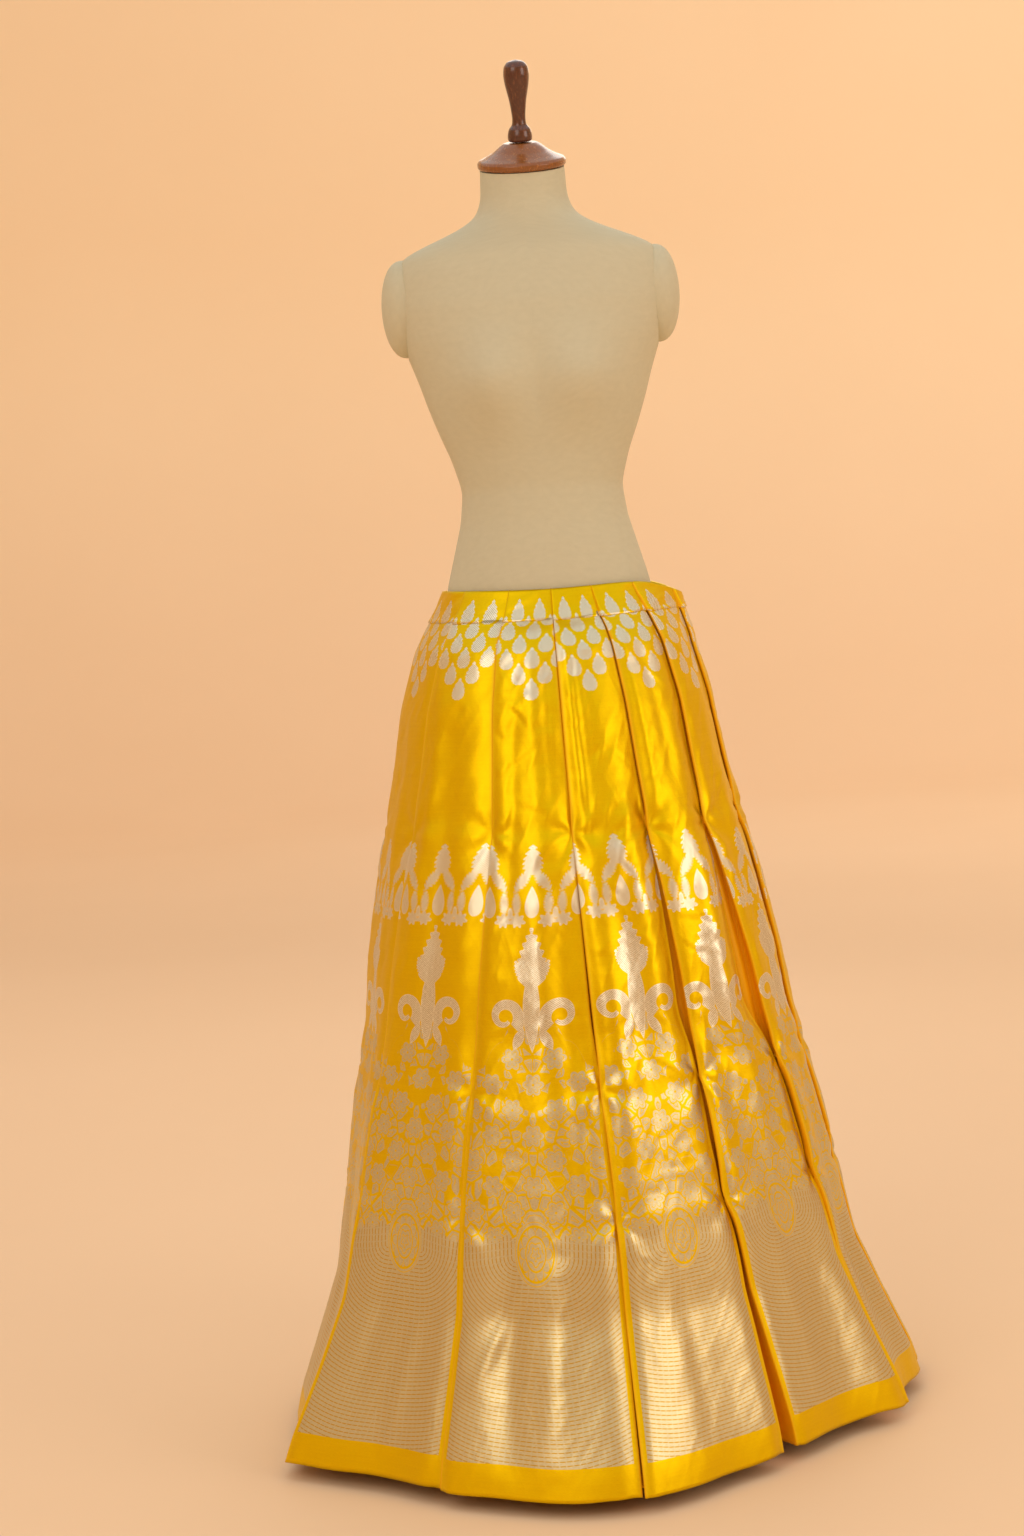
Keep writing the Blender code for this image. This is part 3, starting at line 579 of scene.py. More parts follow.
class Wire:
    """One output socket. Arithmetic with other wires or numbers adds Math nodes to its tree."""

    def __init__(self, tree, socket=None):
        self.tree, self.socket = tree, socket

    def node(self, kind, inputs=(), out=0, **settings):
        """Any other node: settings are its own properties, inputs go to sockets by name or number."""
        made = self.tree.nodes.new(kind)
        for key, setting in settings.items():
            setattr(made, key, setting)
        fill(made, inputs)
        return Wire(self.tree, made.outputs[out])

    def math(self, operation, *values):
        return self.node("ShaderNodeMath", enumerate(values), operation=operation)

    __add__ = __radd__ = math_method("ADD")
    __mul__ = __rmul__ = math_method("MULTIPLY")
    __sub__, __rsub__ = math_method("SUBTRACT"), math_method("SUBTRACT", swapped=True)
    __truediv__, __pow__, __abs__ = math_method("DIVIDE"), math_method("POWER"), math_method("ABSOLUTE")
    sin, cos, least, most = map(math_method, ("SINE", "COSINE", "MINIMUM", "MAXIMUM"))

    def repeat(self, pitch):
        """Where a value falls within its own repeat, from -pitch / 2 to pitch / 2."""
        return self.math("WRAP", self, pitch / 2, -pitch / 2)

    def over(self, limit, soft):
        """0 well below the limit and 1 well above it, with a smooth step `soft` wide between."""
        return self.node("ShaderNodeMapRange", {"Value": self, "From Min": limit - soft / 2,
                                                "From Max": limit + soft / 2},
                         interpolation_type="SMOOTHSTEP")

    def inside(self):
        """1 where a shape's value is above 0."""
        return self.over(0.0, THREAD_SOFT)

    def tint(self, low, high):
        """A colour between two, each a colour wire or a tuple of three."""
        low, high = (c if isinstance(c, Wire) else (*c, 1.0) for c in (low, high))
        return self.node("ShaderNodeMix", {0: self, 6: low, 7: high}, out=2, data_type="RGBA")


def fill(node, values):
    """Fill a node's inputs: wires are linked and plain values are set."""
    for key, value in dict(values).items():
        if isinstance(value, Wire):
            node.id_data.links.new(value.socket, node.inputs[key])
        else:
            node.inputs[key].default_value = value


# %% Helpers for wires
def hypot(x, y):
    return (x * x + y * y) ** 0.5


def turn_of(x, y):
    """The angle of (x, y): 0 along y and a quarter turn along x."""
    return x.math("ARCTAN2", x, y)


def turn_frame(x, y, degrees):
    """x and y as seen from a frame turned anticlockwise by that angle."""
    c, s = math.cos(math.radians(degrees)), math.sin(math.radians(degrees))
    return x * c + y * s, y * c - x * s


def new_material(name, preview):
    """A material, its node tree and its Principled shader."""
    made = bpy.data.materials.new(name)
    made.use_nodes = True
    made.diffuse_color = (*preview, 1.0)
    return made, made.node_tree, made.node_tree.nodes["Principled BSDF"]


def parts(tree, kind, out=0, **settings):
    """The three directions of a coordinate node, as wires in metres."""
    vector = Wire(tree).node(kind, out=out, **settings)
    apart = vector.node("ShaderNodeSeparateXYZ", {0: vector}).socket.node
    return [Wire(tree, socket) for socket in apart.outputs]


def uv_metres(tree):
    """The two directions of the piece's UV map."""
    return parts(tree, "ShaderNodeUVMap", uv_map="metres")[:2]


def object_metres(tree):
    """The three directions of the piece's own coordinates."""
    return parts(tree, "ShaderNodeTexCoord", "Object")


def point(x, y, z=0.0):
    """A vector wire from three wires or numbers. At least x is a wire."""
    return x.node("ShaderNodeCombineXYZ", {0: x, 1: y, 2: z})


def noise(vector, scale, detail=2.0):
    return vector.node("ShaderNodeTexNoise", {"Vector": vector, "Scale": scale, "Detail": detail})


def bumped(height, distance):
    """A normal wire from a height wire. distance is how deep a height of 1 is, in metres."""
    return height.node("ShaderNodeBump", {"Height": height, "Distance": distance, "Strength": 1.0})


print("node arithmetic ready")

# %% [markdown]
# ## Motifs
#
# Each motif is a number that is above zero inside its shape, in metres from its edge. The larger of
# two numbers joins two shapes, the smaller keeps what they share, and a difference cuts one out.
# Leaves, drops, curled commas and rosettes are the common vocabulary of brocade weavers. A jacquard
# loom draws them with the same economy: one half is punched on cards, and the other half mirrors it.

# %% Shapes
def leaf(x, y, long, wide):
    """Pointed at both ends: half length `long` along x, half width `wide`, as a parabola."""
    return wide - wide * (x / long) ** 2 - abs(y)


def drop(x, y, tall, wide):
    """Pointed at the top and round at the foot. At share t of its height the half width is
    2.6 * wide * sqrt(t) * (1 - t), which is widest a third of the way up."""
    t = (y / tall + 0.5).most(0.0).least(1.0)
    return (2.6 * wide * t ** 0.5 * (1 - t) - abs(x)).least(tall / 2 - abs(y))


def oval(x, y, wide, tall, teeth=0, tooth=0.0):
    """An ellipse with a sine wave round its edge for teeth."""
    r = hypot(x / wide, y / tall)
    edge = 1 - r
    if teeth:
        edge = edge + tooth * (teeth * turn_of(x, y)).cos()
    return edge * min(wide, tall)


def serrated(shape, deep, phase):
    """A shape with a sine wave along its edge."""
    return shape + deep * phase.sin()


def comma(x, y, reach, thick):
    """A curled comma round (0, 0). It starts thick at the lower left and turns clockwise. After a share
    t of the turn its middle line is at radius reach * (1 - 0.62 t), and its half thickness is
    thick * (1 - 0.72 t)."""
    turned_x, turned_y = turn_frame(x, y, 45)
    t = 0.5 - turn_of(turned_y, turned_x) / math.tau
    return thick * (1 - 0.72 * t) - abs(hypot(x, y) - reach * (1 - 0.62 * t))


def line_at(shape, half_wide):
    """A line along a shape's edge."""
    return half_wide - abs(shape)


# %% Rows of motifs
DROP_ACROSS, DROP_UP, DROP_LAST_V, DROP_TOP_V = 0.032, 0.0202, 0.958, 1.063
DROP_TALL, DROP_WIDE = 0.0280, 0.0088
LATTICE_FOOT, LATTICE_SLOPE = 0.4 * DROP_UP, 1.15


def drop_lattice(u, v):
    """Drops on a staggered lattice. The lowest hangs in the middle of the kali, and the lattice's foot
    rises to both sides, so that the drops end in a point."""
    shapes = []
    for shift in (0.0, 0.5):
        across = (u + shift * DROP_ACROSS).repeat(DROP_ACROSS)
        rise = v - DROP_LAST_V - shift * 2 * DROP_UP
        up = rise.repeat(2 * DROP_UP)
        column, row = u - across, rise - up + shift * 2 * DROP_UP
        kept = (row + LATTICE_FOOT - LATTICE_SLOPE * abs(column)).least(DROP_TOP_V - DROP_LAST_V - row)
        feathered = serrated(drop(across, up, DROP_TALL, DROP_WIDE), 0.0008, up * 1500 + abs(across) * 900)
        shapes.append(feathered.least(kept))
    return shapes[0].most(shapes[1])


GARLAND_TOP_V, GARLAND_PITCH = 0.763, 0.055


def garland(u, v):
    """A zigzag of leaf sprays. Each peak has a serrated finial with a pendant under it. Two feathered
    stems end in scalloped leaves under each valley."""
    side, y = u.repeat(GARLAND_PITCH), v - GARLAND_TOP_V
    x = abs(side)
    valley = GARLAND_PITCH / 2 - x
    finial = serrated(drop(side, y + 0.015, tall=0.038, wide=0.0110), 0.0018, y * 1150 + x * 500)
    arm_x, arm_y = turn_frame(x - 0.0120, y + 0.0405, -52)
    arm = serrated(leaf(arm_x, arm_y, long=0.0165, wide=0.0058), 0.0017, arm_x * 1500 + abs(arm_y) * 700)
    stem = leaf(y + 0.0685, valley - 0.0080, long=0.0150, wide=0.0048)
    stem = serrated(stem, 0.0015, y * 1800 + x * 500)
    scallop = oval(valley - 0.0092, y + 0.0885, wide=0.0092, tall=0.0072, teeth=7, tooth=0.22)
    bud = oval(valley, y + 0.080, wide=0.0032, tall=0.0070)
    pendant = drop(side, y + 0.0660, tall=0.0380, wide=0.0086)
    return finial.most(arm).most(stem).most(scallop).most(bud).most(pendant)


CROWN_V = 0.560             # the middle of its two commas


def crown(u, v):
    """A tall leafy finial on a stem between two curled commas, the head of the kali's main figure."""
    x, y = abs(u), v - CROWN_V
    finial = serrated(drop(u, y - 0.0690, tall=0.072, wide=0.0165), 0.0022, y * 560 - x * 300)
    feather_x, feather_y = turn_frame(x - 0.0125, y - 0.052, 62)
    feather = serrated(leaf(feather_x, feather_y, long=0.0175, wide=0.0062), 0.0008, feather_x * 1700)
    stem = leaf(y - 0.010, x, long=0.052, wide=0.0105)
    curl = comma(x - 0.0340, y, reach=0.0195, thick=0.0080)
    foot = leaf(*turn_frame(x - 0.017, y + 0.026, 118), long=0.0150, wide=0.0062)
    return finial.most(feather).most(stem).most(curl).most(foot)


print("drops every", 1000 * DROP_ACROSS, "mm across, garland every", 1000 * GARLAND_PITCH, "mm")

# %% The field of the lower half
HEM_BAND_V, FIELD_MARGIN = 0.038, 0.006
ARC_CENTRE_V, ARC_FLAT, ARC_PITCH, ARC_DASH = 0.276, 0.026, 0.0050, 0.0085
JAAL_FOOT_V, JAAL_TOP_V = 0.312, 0.540
CELL, FLOWER_ACROSS, FLOWER_UP, FLOWER_RADIUS, FLOWER_WAVES = 0.0140, 0.052, 0.060, 0.0145, 3
JAAL_OPENS_V, JAAL_OPENS_OVER = 0.36, 0.18
LEAF_GAP, LEAF_GAP_MORE, VEIN_IN, VEIN_HALF = 0.0011, 0.0008, 0.0034, 0.00035
PLAIN_OVER, PLAIN_OVER_LESS = 0.92, 0.34        # cells whose random number is above this show plain silk
ARC_HALF, ARC_BREAK_HALF = 0.00062, 0.0006
MEDALLION_V = 0.282


def arcs(u, v):
    """Nested U-shaped lines of dashes: the distance from a flat-bottomed line under the medallion,
    repeated. The dashes of one line stand beside the breaks of the next."""
    x, y = (abs(u) - ARC_FLAT).most(0.0), (v - ARC_CENTRE_V).least(0.0)
    r = hypot(x, y)
    line = r.repeat(ARC_PITCH)
    along = abs(u) + v + (r - line) * (0.5 * ARC_DASH / ARC_PITCH)
    return line_at(line, ARC_HALF).least(abs(along.repeat(ARC_DASH)) - ARC_BREAK_HALF)


def medallion(u, v):
    """An oval frame round a ring of petals and a smaller oval with a rose in it. Returns the whole
    shape and its lines."""
    y = v - MEDALLION_V
    outer, inner = oval(u, y, wide=0.0225, tall=0.0325), oval(u, y, wide=0.0125, tall=0.0205)
    angle = turn_of(y * 0.66, u)
    petals = line_at(inner + 0.0078 * abs((angle * 5).cos()) ** 0.5, 0.0009)
    rose = line_at((hypot(u, y * 0.75) + 0.0013 * (angle * 5).sin()).repeat(0.0050), 0.0007)
    frames = line_at(outer, 0.0011).most(line_at(inner, 0.0008)).most(line_at(outer + 0.0035, 0.0004))
    return outer + 0.005, frames.most(petals.least(outer)).most(rose.least(inner - 0.0024))


def jaal(u, v):
    """Leaves and flowers packed edge to edge. Returns the lines between them, and the patches where
    plain silk shows. Voronoi cells, pushed about by noise, make the leaves. The lines are wide above,
    where the jaal is open, and narrow below."""
    x = abs(u)
    push = noise(point(x, v), 38.0) - 0.5
    leafy = point(x + 0.012 * push, v * 0.8 - 0.010 * push)
    edge = leafy.node("ShaderNodeTexVoronoi", {"Vector": leafy, "Scale": 1 / CELL},
                      feature="DISTANCE_TO_EDGE") * CELL
    chance = leafy.node("ShaderNodeSeparateColor", {
        0: leafy.node("ShaderNodeTexVoronoi", {"Vector": leafy, "Scale": 1 / CELL}, out=1)})
    open_above = ((v - JAAL_OPENS_V) / JAAL_OPENS_OVER).most(0.0).least(1.0)
    vein = line_at(edge - VEIN_IN, VEIN_HALF)
    lines, flowers = ((LEAF_GAP + LEAF_GAP_MORE * open_above) - edge).most(vein), None
    for shift in (0.0, 0.5):
        fx = (x + shift * FLOWER_ACROSS).repeat(FLOWER_ACROSS)
        fy = (v + shift * FLOWER_UP).repeat(FLOWER_UP)
        angle, r = turn_of(fy, fx), hypot(fx, fy)
        petals = abs((angle * FLOWER_WAVES).cos())
        outer = FLOWER_RADIUS * (0.72 + 0.28 * petals) - r
        bloom = line_at(outer, 0.0010).most(line_at(outer - 0.0065 + 0.002 * petals, 0.0006))
        lines = lines.least(-1 * outer).most(bloom).most(0.0016 - r)
        flowers = outer if flowers is None else flowers.most(outer)
    plain = 0.02 * (chance - (PLAIN_OVER - PLAIN_OVER_LESS * open_above))
    patches = plain.least(edge - 0.0012).least(-1 * flowers)
    return lines, patches


def jaal_region(u, v):
    """Above zero where the jaal lies. Its head is flat and then slopes to both sides, its foot hangs
    lower at the sides, and both are scalloped."""
    x = abs(u)
    scallop = 0.008 * abs((x * 125).cos())
    head = JAAL_TOP_V - v - 1.25 * (x - 0.030).most(0.0) + scallop
    foot = v - JAAL_FOOT_V + scallop + 0.20 * x
    return head.least(foot)


print("field: hem band", HEM_BAND_V, "m, arcs every", 1000 * ARC_PITCH, "mm")

# %% [markdown]
# ## Materials
#
# Banarasi brocade is silk with a second weft of metal-wrapped thread, called zari, which comes to the
# front only where the pattern wants it. So one mask decides between two finishes: deep yellow silk, and
# zari that is paler and a little smoother. Both shine in their own colour, as metal does, and lose that
# shine close to a fold edge. There the silk is also painted a deeper orange, as painted shade for the
# inside of the pleat. A bump stands for threads and for wrinkles too fine for the mesh.

# %% Brocade
SILK, SILK_DEEP = (0.82, 0.58, 0.001), (0.74, 0.49, 0.001)
ZARI, ZARI_BRIGHT, ZARI_SHADE = (0.65, 0.59, 0.37), (0.88, 0.84, 0.68), (0.42, 0.34, 0.15)
ARC_LINE = (0.54, 0.33, 0.03)
# Painted shade: a deeper orange given to the silk close to and behind a fold edge, for the inside of a pleat
# in shade.
PAINTED_PLEAT_SHADE = (0.87, 0.42, 0.001)
WRINKLE_DEEP, WRINKLE_POWER = 0.0007, 0.8
WRINKLES = (
    # repeats a metre: across, slant, up; and weight
    (62, 30, 15, 0.4), (50, -34, 13, 0.4), (15, -9, 9, 0.8),
)
HATCH_PITCH, HATCH_HALF, HATCH_EDGE = 0.0024, 0.0004, 0.0010


def brocade_masks(u, v, inset):
    """Where zari shows, where the lines of the arcs show, and the figures in metres from their edge."""
    figures = drop_lattice(u, v).most(garland(u, v)).most(crown(u, v))
    jaal_lines, patches = jaal(u, v)
    in_jaal = jaal_region(u, v)
    shape, details = medallion(u, v)
    low_field = (JAAL_FOOT_V + 0.02 - v).least(v - HEM_BAND_V)
    field = in_jaal.most(low_field).least(inset - FIELD_MARGIN)
    arc_lines = arcs(u, v).least(-1 * in_jaal).least(-1 * shape)
    lines = jaal_lines.least(in_jaal).least(-1 * shape).most(arc_lines).most(details)
    open_silk = lines.most(patches.least(in_jaal).least(-1 * shape))
    zari = field.least(-1 * open_silk).most(figures).inside() * inset.over(-0.0005, 0.001)
    return zari, arc_lines.least(field).inside(), figures


def make_brocade():
    made, tree, shader = new_material("brocade", SILK)
    u, v = uv_metres(tree)
    inset = Wire(tree).node("ShaderNodeAttribute", out="Fac", attribute_name="inset")
    zari, arc, figures = brocade_masks(u, v, inset)
    hatch = line_at((0.8 * abs(u) + v).repeat(HATCH_PITCH), HATCH_HALF).inside()
    hatch = hatch * figures.over(HATCH_EDGE, HATCH_EDGE)
    grain = noise(point(u * 260, v * 2600), 1.0, 2.0)
    slub = noise(point(u * 22, v * 420), 1.0, 2.0)
    wrinkles = 1.0
    for across, slant, up, weight in WRINKLES:
        field = noise(point(u * across + v * slant, v * up), 1.0, 1.0)
        wrinkles = wrinkles - weight * abs(field - 0.5) ** WRINKLE_POWER
    face_silk = (grain * 0.7 + slub * 0.3).over(0.5, 0.5).tint(SILK_DEEP, SILK)
    # Painted shade: close to and behind a fold edge the silk turns to the deeper pleat colour.
    silk_and_pleat_shade = inset.over(0.0004, 0.005).tint(PAINTED_PLEAT_SHADE, face_silk)
    bright = figures.inside().tint(ZARI, ZARI_BRIGHT)
    metal = (grain - 0.30 * hatch).over(0.36, 0.50).tint(ZARI_SHADE, bright)
    fill(shader, {
        "Base Color": zari.tint(arc.tint(silk_and_pleat_shade, ARC_LINE), metal),
        "Metallic": (0.86 + 0.02 * zari) * inset.over(0.0018, 0.0075),
        "Roughness": 0.38 + 0.08 * grain - 0.05 * zari,
        "Normal": bumped(0.03 * grain + wrinkles, WRINKLE_DEEP),
        "Specular IOR Level": 0.15,
    })
    return made


def make_cloth(name, low, high, roughness, weave, bump):
    """Plain woven cloth: threads both ways, as two sine waves, over uneven noise."""
    made, tree, shader = new_material(name, high)
    u, v = uv_metres(tree)
    threads = 0.25 * ((u * (math.tau / weave)).sin() + (v * (math.tau / weave)).sin()) + 0.5
    uneven = noise(point(u * 90, v * 150), 1.0, 3.0)
    fill(shader, {
        "Base Color": (0.5 * threads + 0.5 * uneven).over(0.5, 0.6).tint(low, high),
        "Roughness": roughness,
        "Normal": bumped(threads + 0.6 * uneven, bump),
    })
    return made


# %% Linen, wood, steel and thread
def streaked(name, preview, across, up, detail):
    """A material, its shader, and noise with `across` and `up` lumps a metre, for grain or scratches."""
    made, tree, shader = new_material(name, preview)
    x, y, z = object_metres(tree)
    return made, shader, noise(point(x * across, y * across, z * up), 1.0, detail)


def make_wood(name, low, high, roughness):
    """Turned wood under lacquer: long grain from noise that is stretched along the height."""
    made, shader, grain = streaked(name, high, 260, 28, 4.0)
    rings = ((grain * 9).sin() * 0.5 + 0.5) * 0.5 + grain * 0.5
    fill(shader, {
        "Base Color": rings.over(0.5, 0.7).tint(low, high),
        "Roughness": roughness + 0.12 * grain,
        "Normal": bumped(rings, 0.00008),
        "Coat Weight": 0.4,
        "Coat Roughness": 0.14,
    })
    return made


def make_steel():
    """Brushed steel: fine scratches round the piece, from noise that is squeezed along the height."""
    made, shader, scratch = streaked("stand_steel", (0.6, 0.6, 0.6), 30, 2400, 3.0)
    fill(shader, {
        "Base Color": scratch.tint((0.42, 0.42, 0.43), (0.62, 0.62, 0.63)),
        "Metallic": 1.0,
        "Roughness": 0.28 + 0.14 * scratch,
        "Normal": bumped(scratch, 0.00003),
    })
    return made


def make_thread():
    """Silk sewing thread, a shade deeper than the cloth, with the streaks of its twist."""
    made, shader, twist = streaked("thread", (0.80, 0.45, 0.01), 1800, 900, 1.0)
    fill(shader, {
        "Base Color": twist.over(0.5, 0.4).tint((0.70, 0.38, 0.004), (0.84, 0.52, 0.008)),
        "Roughness": 0.45 + 0.1 * twist,
        "Normal": bumped(twist, 0.00003),
    })
    return made


brocade = make_brocade()
lining = make_cloth("lining", (0.50, 0.24, 0.01), (0.78, 0.42, 0.02), 0.62, 0.0011, 0.00006)
linen = make_cloth("linen", (0.555, 0.53, 0.375), (0.625, 0.595, 0.43), 0.85, 0.0013, 0.00012)
cap_wood = make_wood("cap_wood", (0.22, 0.070, 0.010), (0.46, 0.18, 0.035), 0.20)
handle_wood = make_wood("handle_wood", (0.075, 0.020, 0.008), (0.22, 0.070, 0.024), 0.18)
steel = make_steel()
thread = make_thread()
print("brocade has", len(brocade.node_tree.nodes), "nodes")

# %% [markdown]
# ## The twelve kalis
#
# On a real skirt each kali is cut from the brocade with the pattern in its middle. It is then creased
# along its two fold edges and sewn to the next one deep inside the pleat. The kalis at the front get
# more rows and columns, because their creases are seen from near by.

# %% Make the kalis
FRONT_KALIS, FRONT_GRID, OTHER_GRID = (1, 2, 3, 4), (241, 75), (161, 35)    # rows, and columns of a face
LINE_SOFTEN = 0.012
PATTERN_DRIFT, DRIFT_POWER = {1: 0.010, 2: -0.003, 3: -0.006}, 3    # some pleats take more from one side
CRUMPLES, CRUMPLE_SEED = ((0.050, 0.0011), (0.022, 0.0004)), 100      # size and depth
FOLDS, FOLD_SEED, FOLD_SEED_STEP = ((0.030, 0.3, 0.0004), (0.017, -0.5, 0.0007)), 50, 20
FOLD_TALL = 0.55            # folds are longer upwards than across
# Zari stiffens the lower half, so its marks are shallower.
STIFF_Z, STIFF_SHARE = (0.10, 0.30, 0.48, 0.62, 1.00), (0.35, 0.45, 0.60, 0.80, 0.75)
HEM_LIFT, HEM_LIFT_SIZE, HEM_LIFT_TOP_Z, HEM_LIFT_SEED = 0.0022, 0.05, 0.12, 900
SEWN_FLAT = 0.03            # marks fade out towards the waistband over this height
WAIST_TUCK_Z, WAIST_TUCK_IN = 1.005, 0.055      # the top 25 mm bends in, most at the front and back
WAIST_DIP_Z = 0.985


def waist_dip(degrees):
    return WAIST_DIP * np.maximum(0.0, np.cos(np.radians(degrees))) ** 2


def placket_push(degrees, z):
    """How far the side opening's slack moves the cloth outwards."""
    away = np.abs(half_turns(degrees - PLACKET_DEG)) / PLACKET_SPREAD_DEG
    return np.interp(z, PLACKET_Z, PLACKET_OUT) * np.exp(-away ** PLACKET_POWER)


def kali_relief(kali, across, along, edges, uv, z):
    """How far the marks in the silk move each point of a kali outwards and up, and each point's distance
    from the fold edge. edges are the numbers of the two edge columns."""
    u, v = uv[..., 0], uv[..., 1]
    from_left, to_right = along - along[:, [edges[0]]], along[:, [edges[1]]] - along
    inset, width = np.minimum(from_left, to_right), (from_left + to_right)[:, :1]
    calm = smooth_step(inset / EDGE_CALM)
    soft = calm * np.interp(z, STIFF_Z, STIFF_SHARE)
    relief = calm * crease_relief(kali, across, width, share_up(z))
    for number, (size, deep) in enumerate(CRUMPLES):
        relief += soft * deep * crumple(CRUMPLE_SEED * kali + number, u, v, size)
    for number, (size, slant, deep) in enumerate(FOLDS):
        seed = FOLD_SEED + kali + FOLD_SEED_STEP * number
        relief += soft * deep * ridged(crumple(seed, u + slant * v, FOLD_TALL * v, size))
    relief += soft * fine_relief(kali, u, v, width)
    relief += pinch_relief(np.abs(inset), z, kali) + roll_relief(from_left, to_right, z)
    lift = HEM_LIFT * crumple(HEM_LIFT_SEED + kali, u, 0 * v, HEM_LIFT_SIZE)
    lift = lift * calm * smooth_step(1 - z / HEM_LIFT_TOP_Z)
    return relief * smooth_step((SKIRT_TOP_Z - z) / SEWN_FLAT), lift, inset


def shape_top(points, z):
    """Bend a kali's top in under the band, push it out at the side opening and dip it at the front."""
    bend_in = WAIST_TUCK_IN * np.maximum(0.0, np.cos(np.radians(2 * around(points)[0])))
    bend_in = bend_in * smooth_step((z - WAIST_TUCK_Z) / (SKIRT_TOP_Z - WAIST_TUCK_Z)) ** 2
    points[..., :2] *= (1 - bend_in)[..., None]
    degrees, _ = around(points)
    push_out(points, placket_push(degrees, z))
    points[..., 2] -= waist_dip(degrees) * np.interp(z, (WAIST_DIP_Z, SKIRT_TOP_Z), (0.0, 1.0))


def kali_sheet(kali):
    """Points, UV and distance from the fold edge of one kali, all as (rows, columns, ...) arrays, and
    the points of its face alone."""
    rows, columns = FRONT_GRID if kali in FRONT_KALIS else OTHER_GRID
    z = np.linspace(HEM_Z, SKIRT_TOP_Z, rows)
    lines, across, (left, right), out = kali_lines(kali, columns, z)
    plan = soften(lines.transpose(1, 0, 2), z[1] - z[0], LINE_SOFTEN)
    z = np.repeat(z[:, None], plan.shape[1], axis=1)
    points = np.dstack([plan, z])
    along, up = arc_length(points), arc_length(points[:, (left + right) // 2])[:, None]
    middle = (along[:, [left]] + along[:, [right]]) / 2
    middle = middle + PATTERN_DRIFT.get(kali, 0.0) * (up / up[-1]) ** DRIFT_POWER
    uv = np.dstack([along - middle, up + 0 * along])
    relief, lift, inset = kali_relief(kali, across.T, along, (left, right), uv, z)
    points[..., :2] += relief[..., None] * out[:, None, :]
    points[..., 2] += lift
    shape_top(points, z)
    return points, uv, inset, points[:, left:right + 1]


SHEETS, FACES = [], []
for kali in range(KALIS):
    points, uv, inset, face = kali_sheet(kali)
    FACES.append(face)
    name = f"kali_{kali + 1:02d}"
    piece = put_grid(name + "_cloth", points, uv, inset)
    cloth_wall(piece, CLOTH)
    finish_piece(piece, (brocade, lining), (name,))
    spans = uv[:, -1, 0] - uv[:, 0, 0]
    SHEETS.append((piece, spans.max(), uv[-1, 0, 1], float(spans.mean() * uv[-1, 0, 1])))
    print(name, "cut", np.round(SHEETS[-1][1:3], 3), "m, area", round(SHEETS[-1][3], 3), "m2")

# %% [markdown]
# ## The waistband
#
# The band is a straight strip of the same brocade, folded double over the skirt's raw top. It passes
# the side opening at the wearer's left, where its two ends meet. Small tucks carry the pleats over it.

# %% Dress form profile
FORM_SQUARE = 2.15
FORM_Z, FORM_HALF, FORM_FRONT, FORM_BACK = np.array([
    # z, half_width, front, back
    (0.800, 0.118, 0.078, 0.086), (0.806, 0.136, 0.088, 0.098), (0.830, 0.150, 0.096, 0.108),
    (0.880, 0.160, 0.102, 0.116), (0.940, 0.158, 0.103, 0.115), (0.990, 0.145, 0.098, 0.106),
    (1.032, 0.134, 0.094, 0.098), (1.070, 0.128, 0.094, 0.095), (1.110, 0.117, 0.090, 0.090),
    (1.150, 0.106, 0.085, 0.085), (1.190, 0.101, 0.083, 0.082), (1.230, 0.112, 0.089, 0.086),
    (1.268, 0.127, 0.097, 0.091), (1.300, 0.138, 0.102, 0.095), (1.327, 0.146, 0.104, 0.097),
    (1.350, 0.154, 0.103, 0.098), (1.378, 0.164, 0.101, 0.099), (1.420, 0.173, 0.094, 0.095),
    (1.460, 0.172, 0.082, 0.084), (1.486, 0.160, 0.073, 0.074), (1.502, 0.122, 0.066, 0.067),
    (1.515, 0.088, 0.061, 0.062), (1.530, 0.063, 0.057, 0.058), (1.552, 0.0545, 0.053, 0.054),
    (1.590, 0.0530, 0.051, 0.053),
]).T


def squarish(across, ahead, half, depth):
    """Radius of a squarish ellipse in a direction: (|across / half|^p + |ahead / depth|^p)^(-1 / p)."""
    total = np.abs(across / half) ** FORM_SQUARE + np.abs(ahead / depth) ** FORM_SQUARE
    return total ** (-1 / FORM_SQUARE)


def form_radius(degrees, z):
    """The form's outline from its axis at one height. It is deeper at the back than at the front."""
    outwards, _ = round_unit(degrees)
    half, front, back = (np.interp(z, FORM_Z, c) for c in (FORM_HALF, FORM_FRONT, FORM_BACK))
    return squarish(outwards[..., 0], outwards[..., 1], half, np.where(outwards[..., 1] < 0, front, back))


# %% Waistband
BAND_WALL, BAND_OPENING_DEG, BAND_END_GAP = 0.0024, 98.0, 0.0007
BAND_CLEAR_TOP, BAND_LAP, BAND_OVER, BAND_SLOPE_POWER = 0.0045, 0.0030, 0.0023, 0.85
BAND_RADIUS, PATTERN_RADIUS = 0.150, 0.140      # of the band, and of the kalis' pattern carried up on it
TUCK_DEPTH, TUCK_STEP, TUCK_HALF_DEG, TUCK_STEP_DEG = 0.0040, 0.0009, 0.30, 6.0
TUCK_COLUMNS, TUCK_REACH, COLUMN_APART_DEG = 13, 2.4, 0.02
# Painted shade at the tucks: the band's inset is made from the distance to a tuck, so the painted pleat
# shade and the end of the pattern show as a thin line along each tuck.
TUCK_SHADE_INSET = (0.05, 5, 0.004)   # most inset, and how a distance from a tuck is scaled and shifted to one
BAND_ROWS, BAND_PLAIN_STEPS = 15, 18
BAND_PUCKER, PUCKER_SIZE, PUCKER_SEED = 0.0007, 0.014, 77
FOOT_PUCKER, FOOT_PUCKER_SIZE, FOOT_PUCKER_SEED = 1.6 * BAND_PUCKER, 0.021, 78


def skirt_top_radius(degrees):
    """How far out the kalis' faces stand at their top, read from the sheets made above."""
    degrees_found, radius = around(np.concatenate([face[-1] for face in FACES]))
    order = np.argsort(degrees_found)
    return np.interp(half_turns(degrees), degrees_found[order], radius[order], period=360)


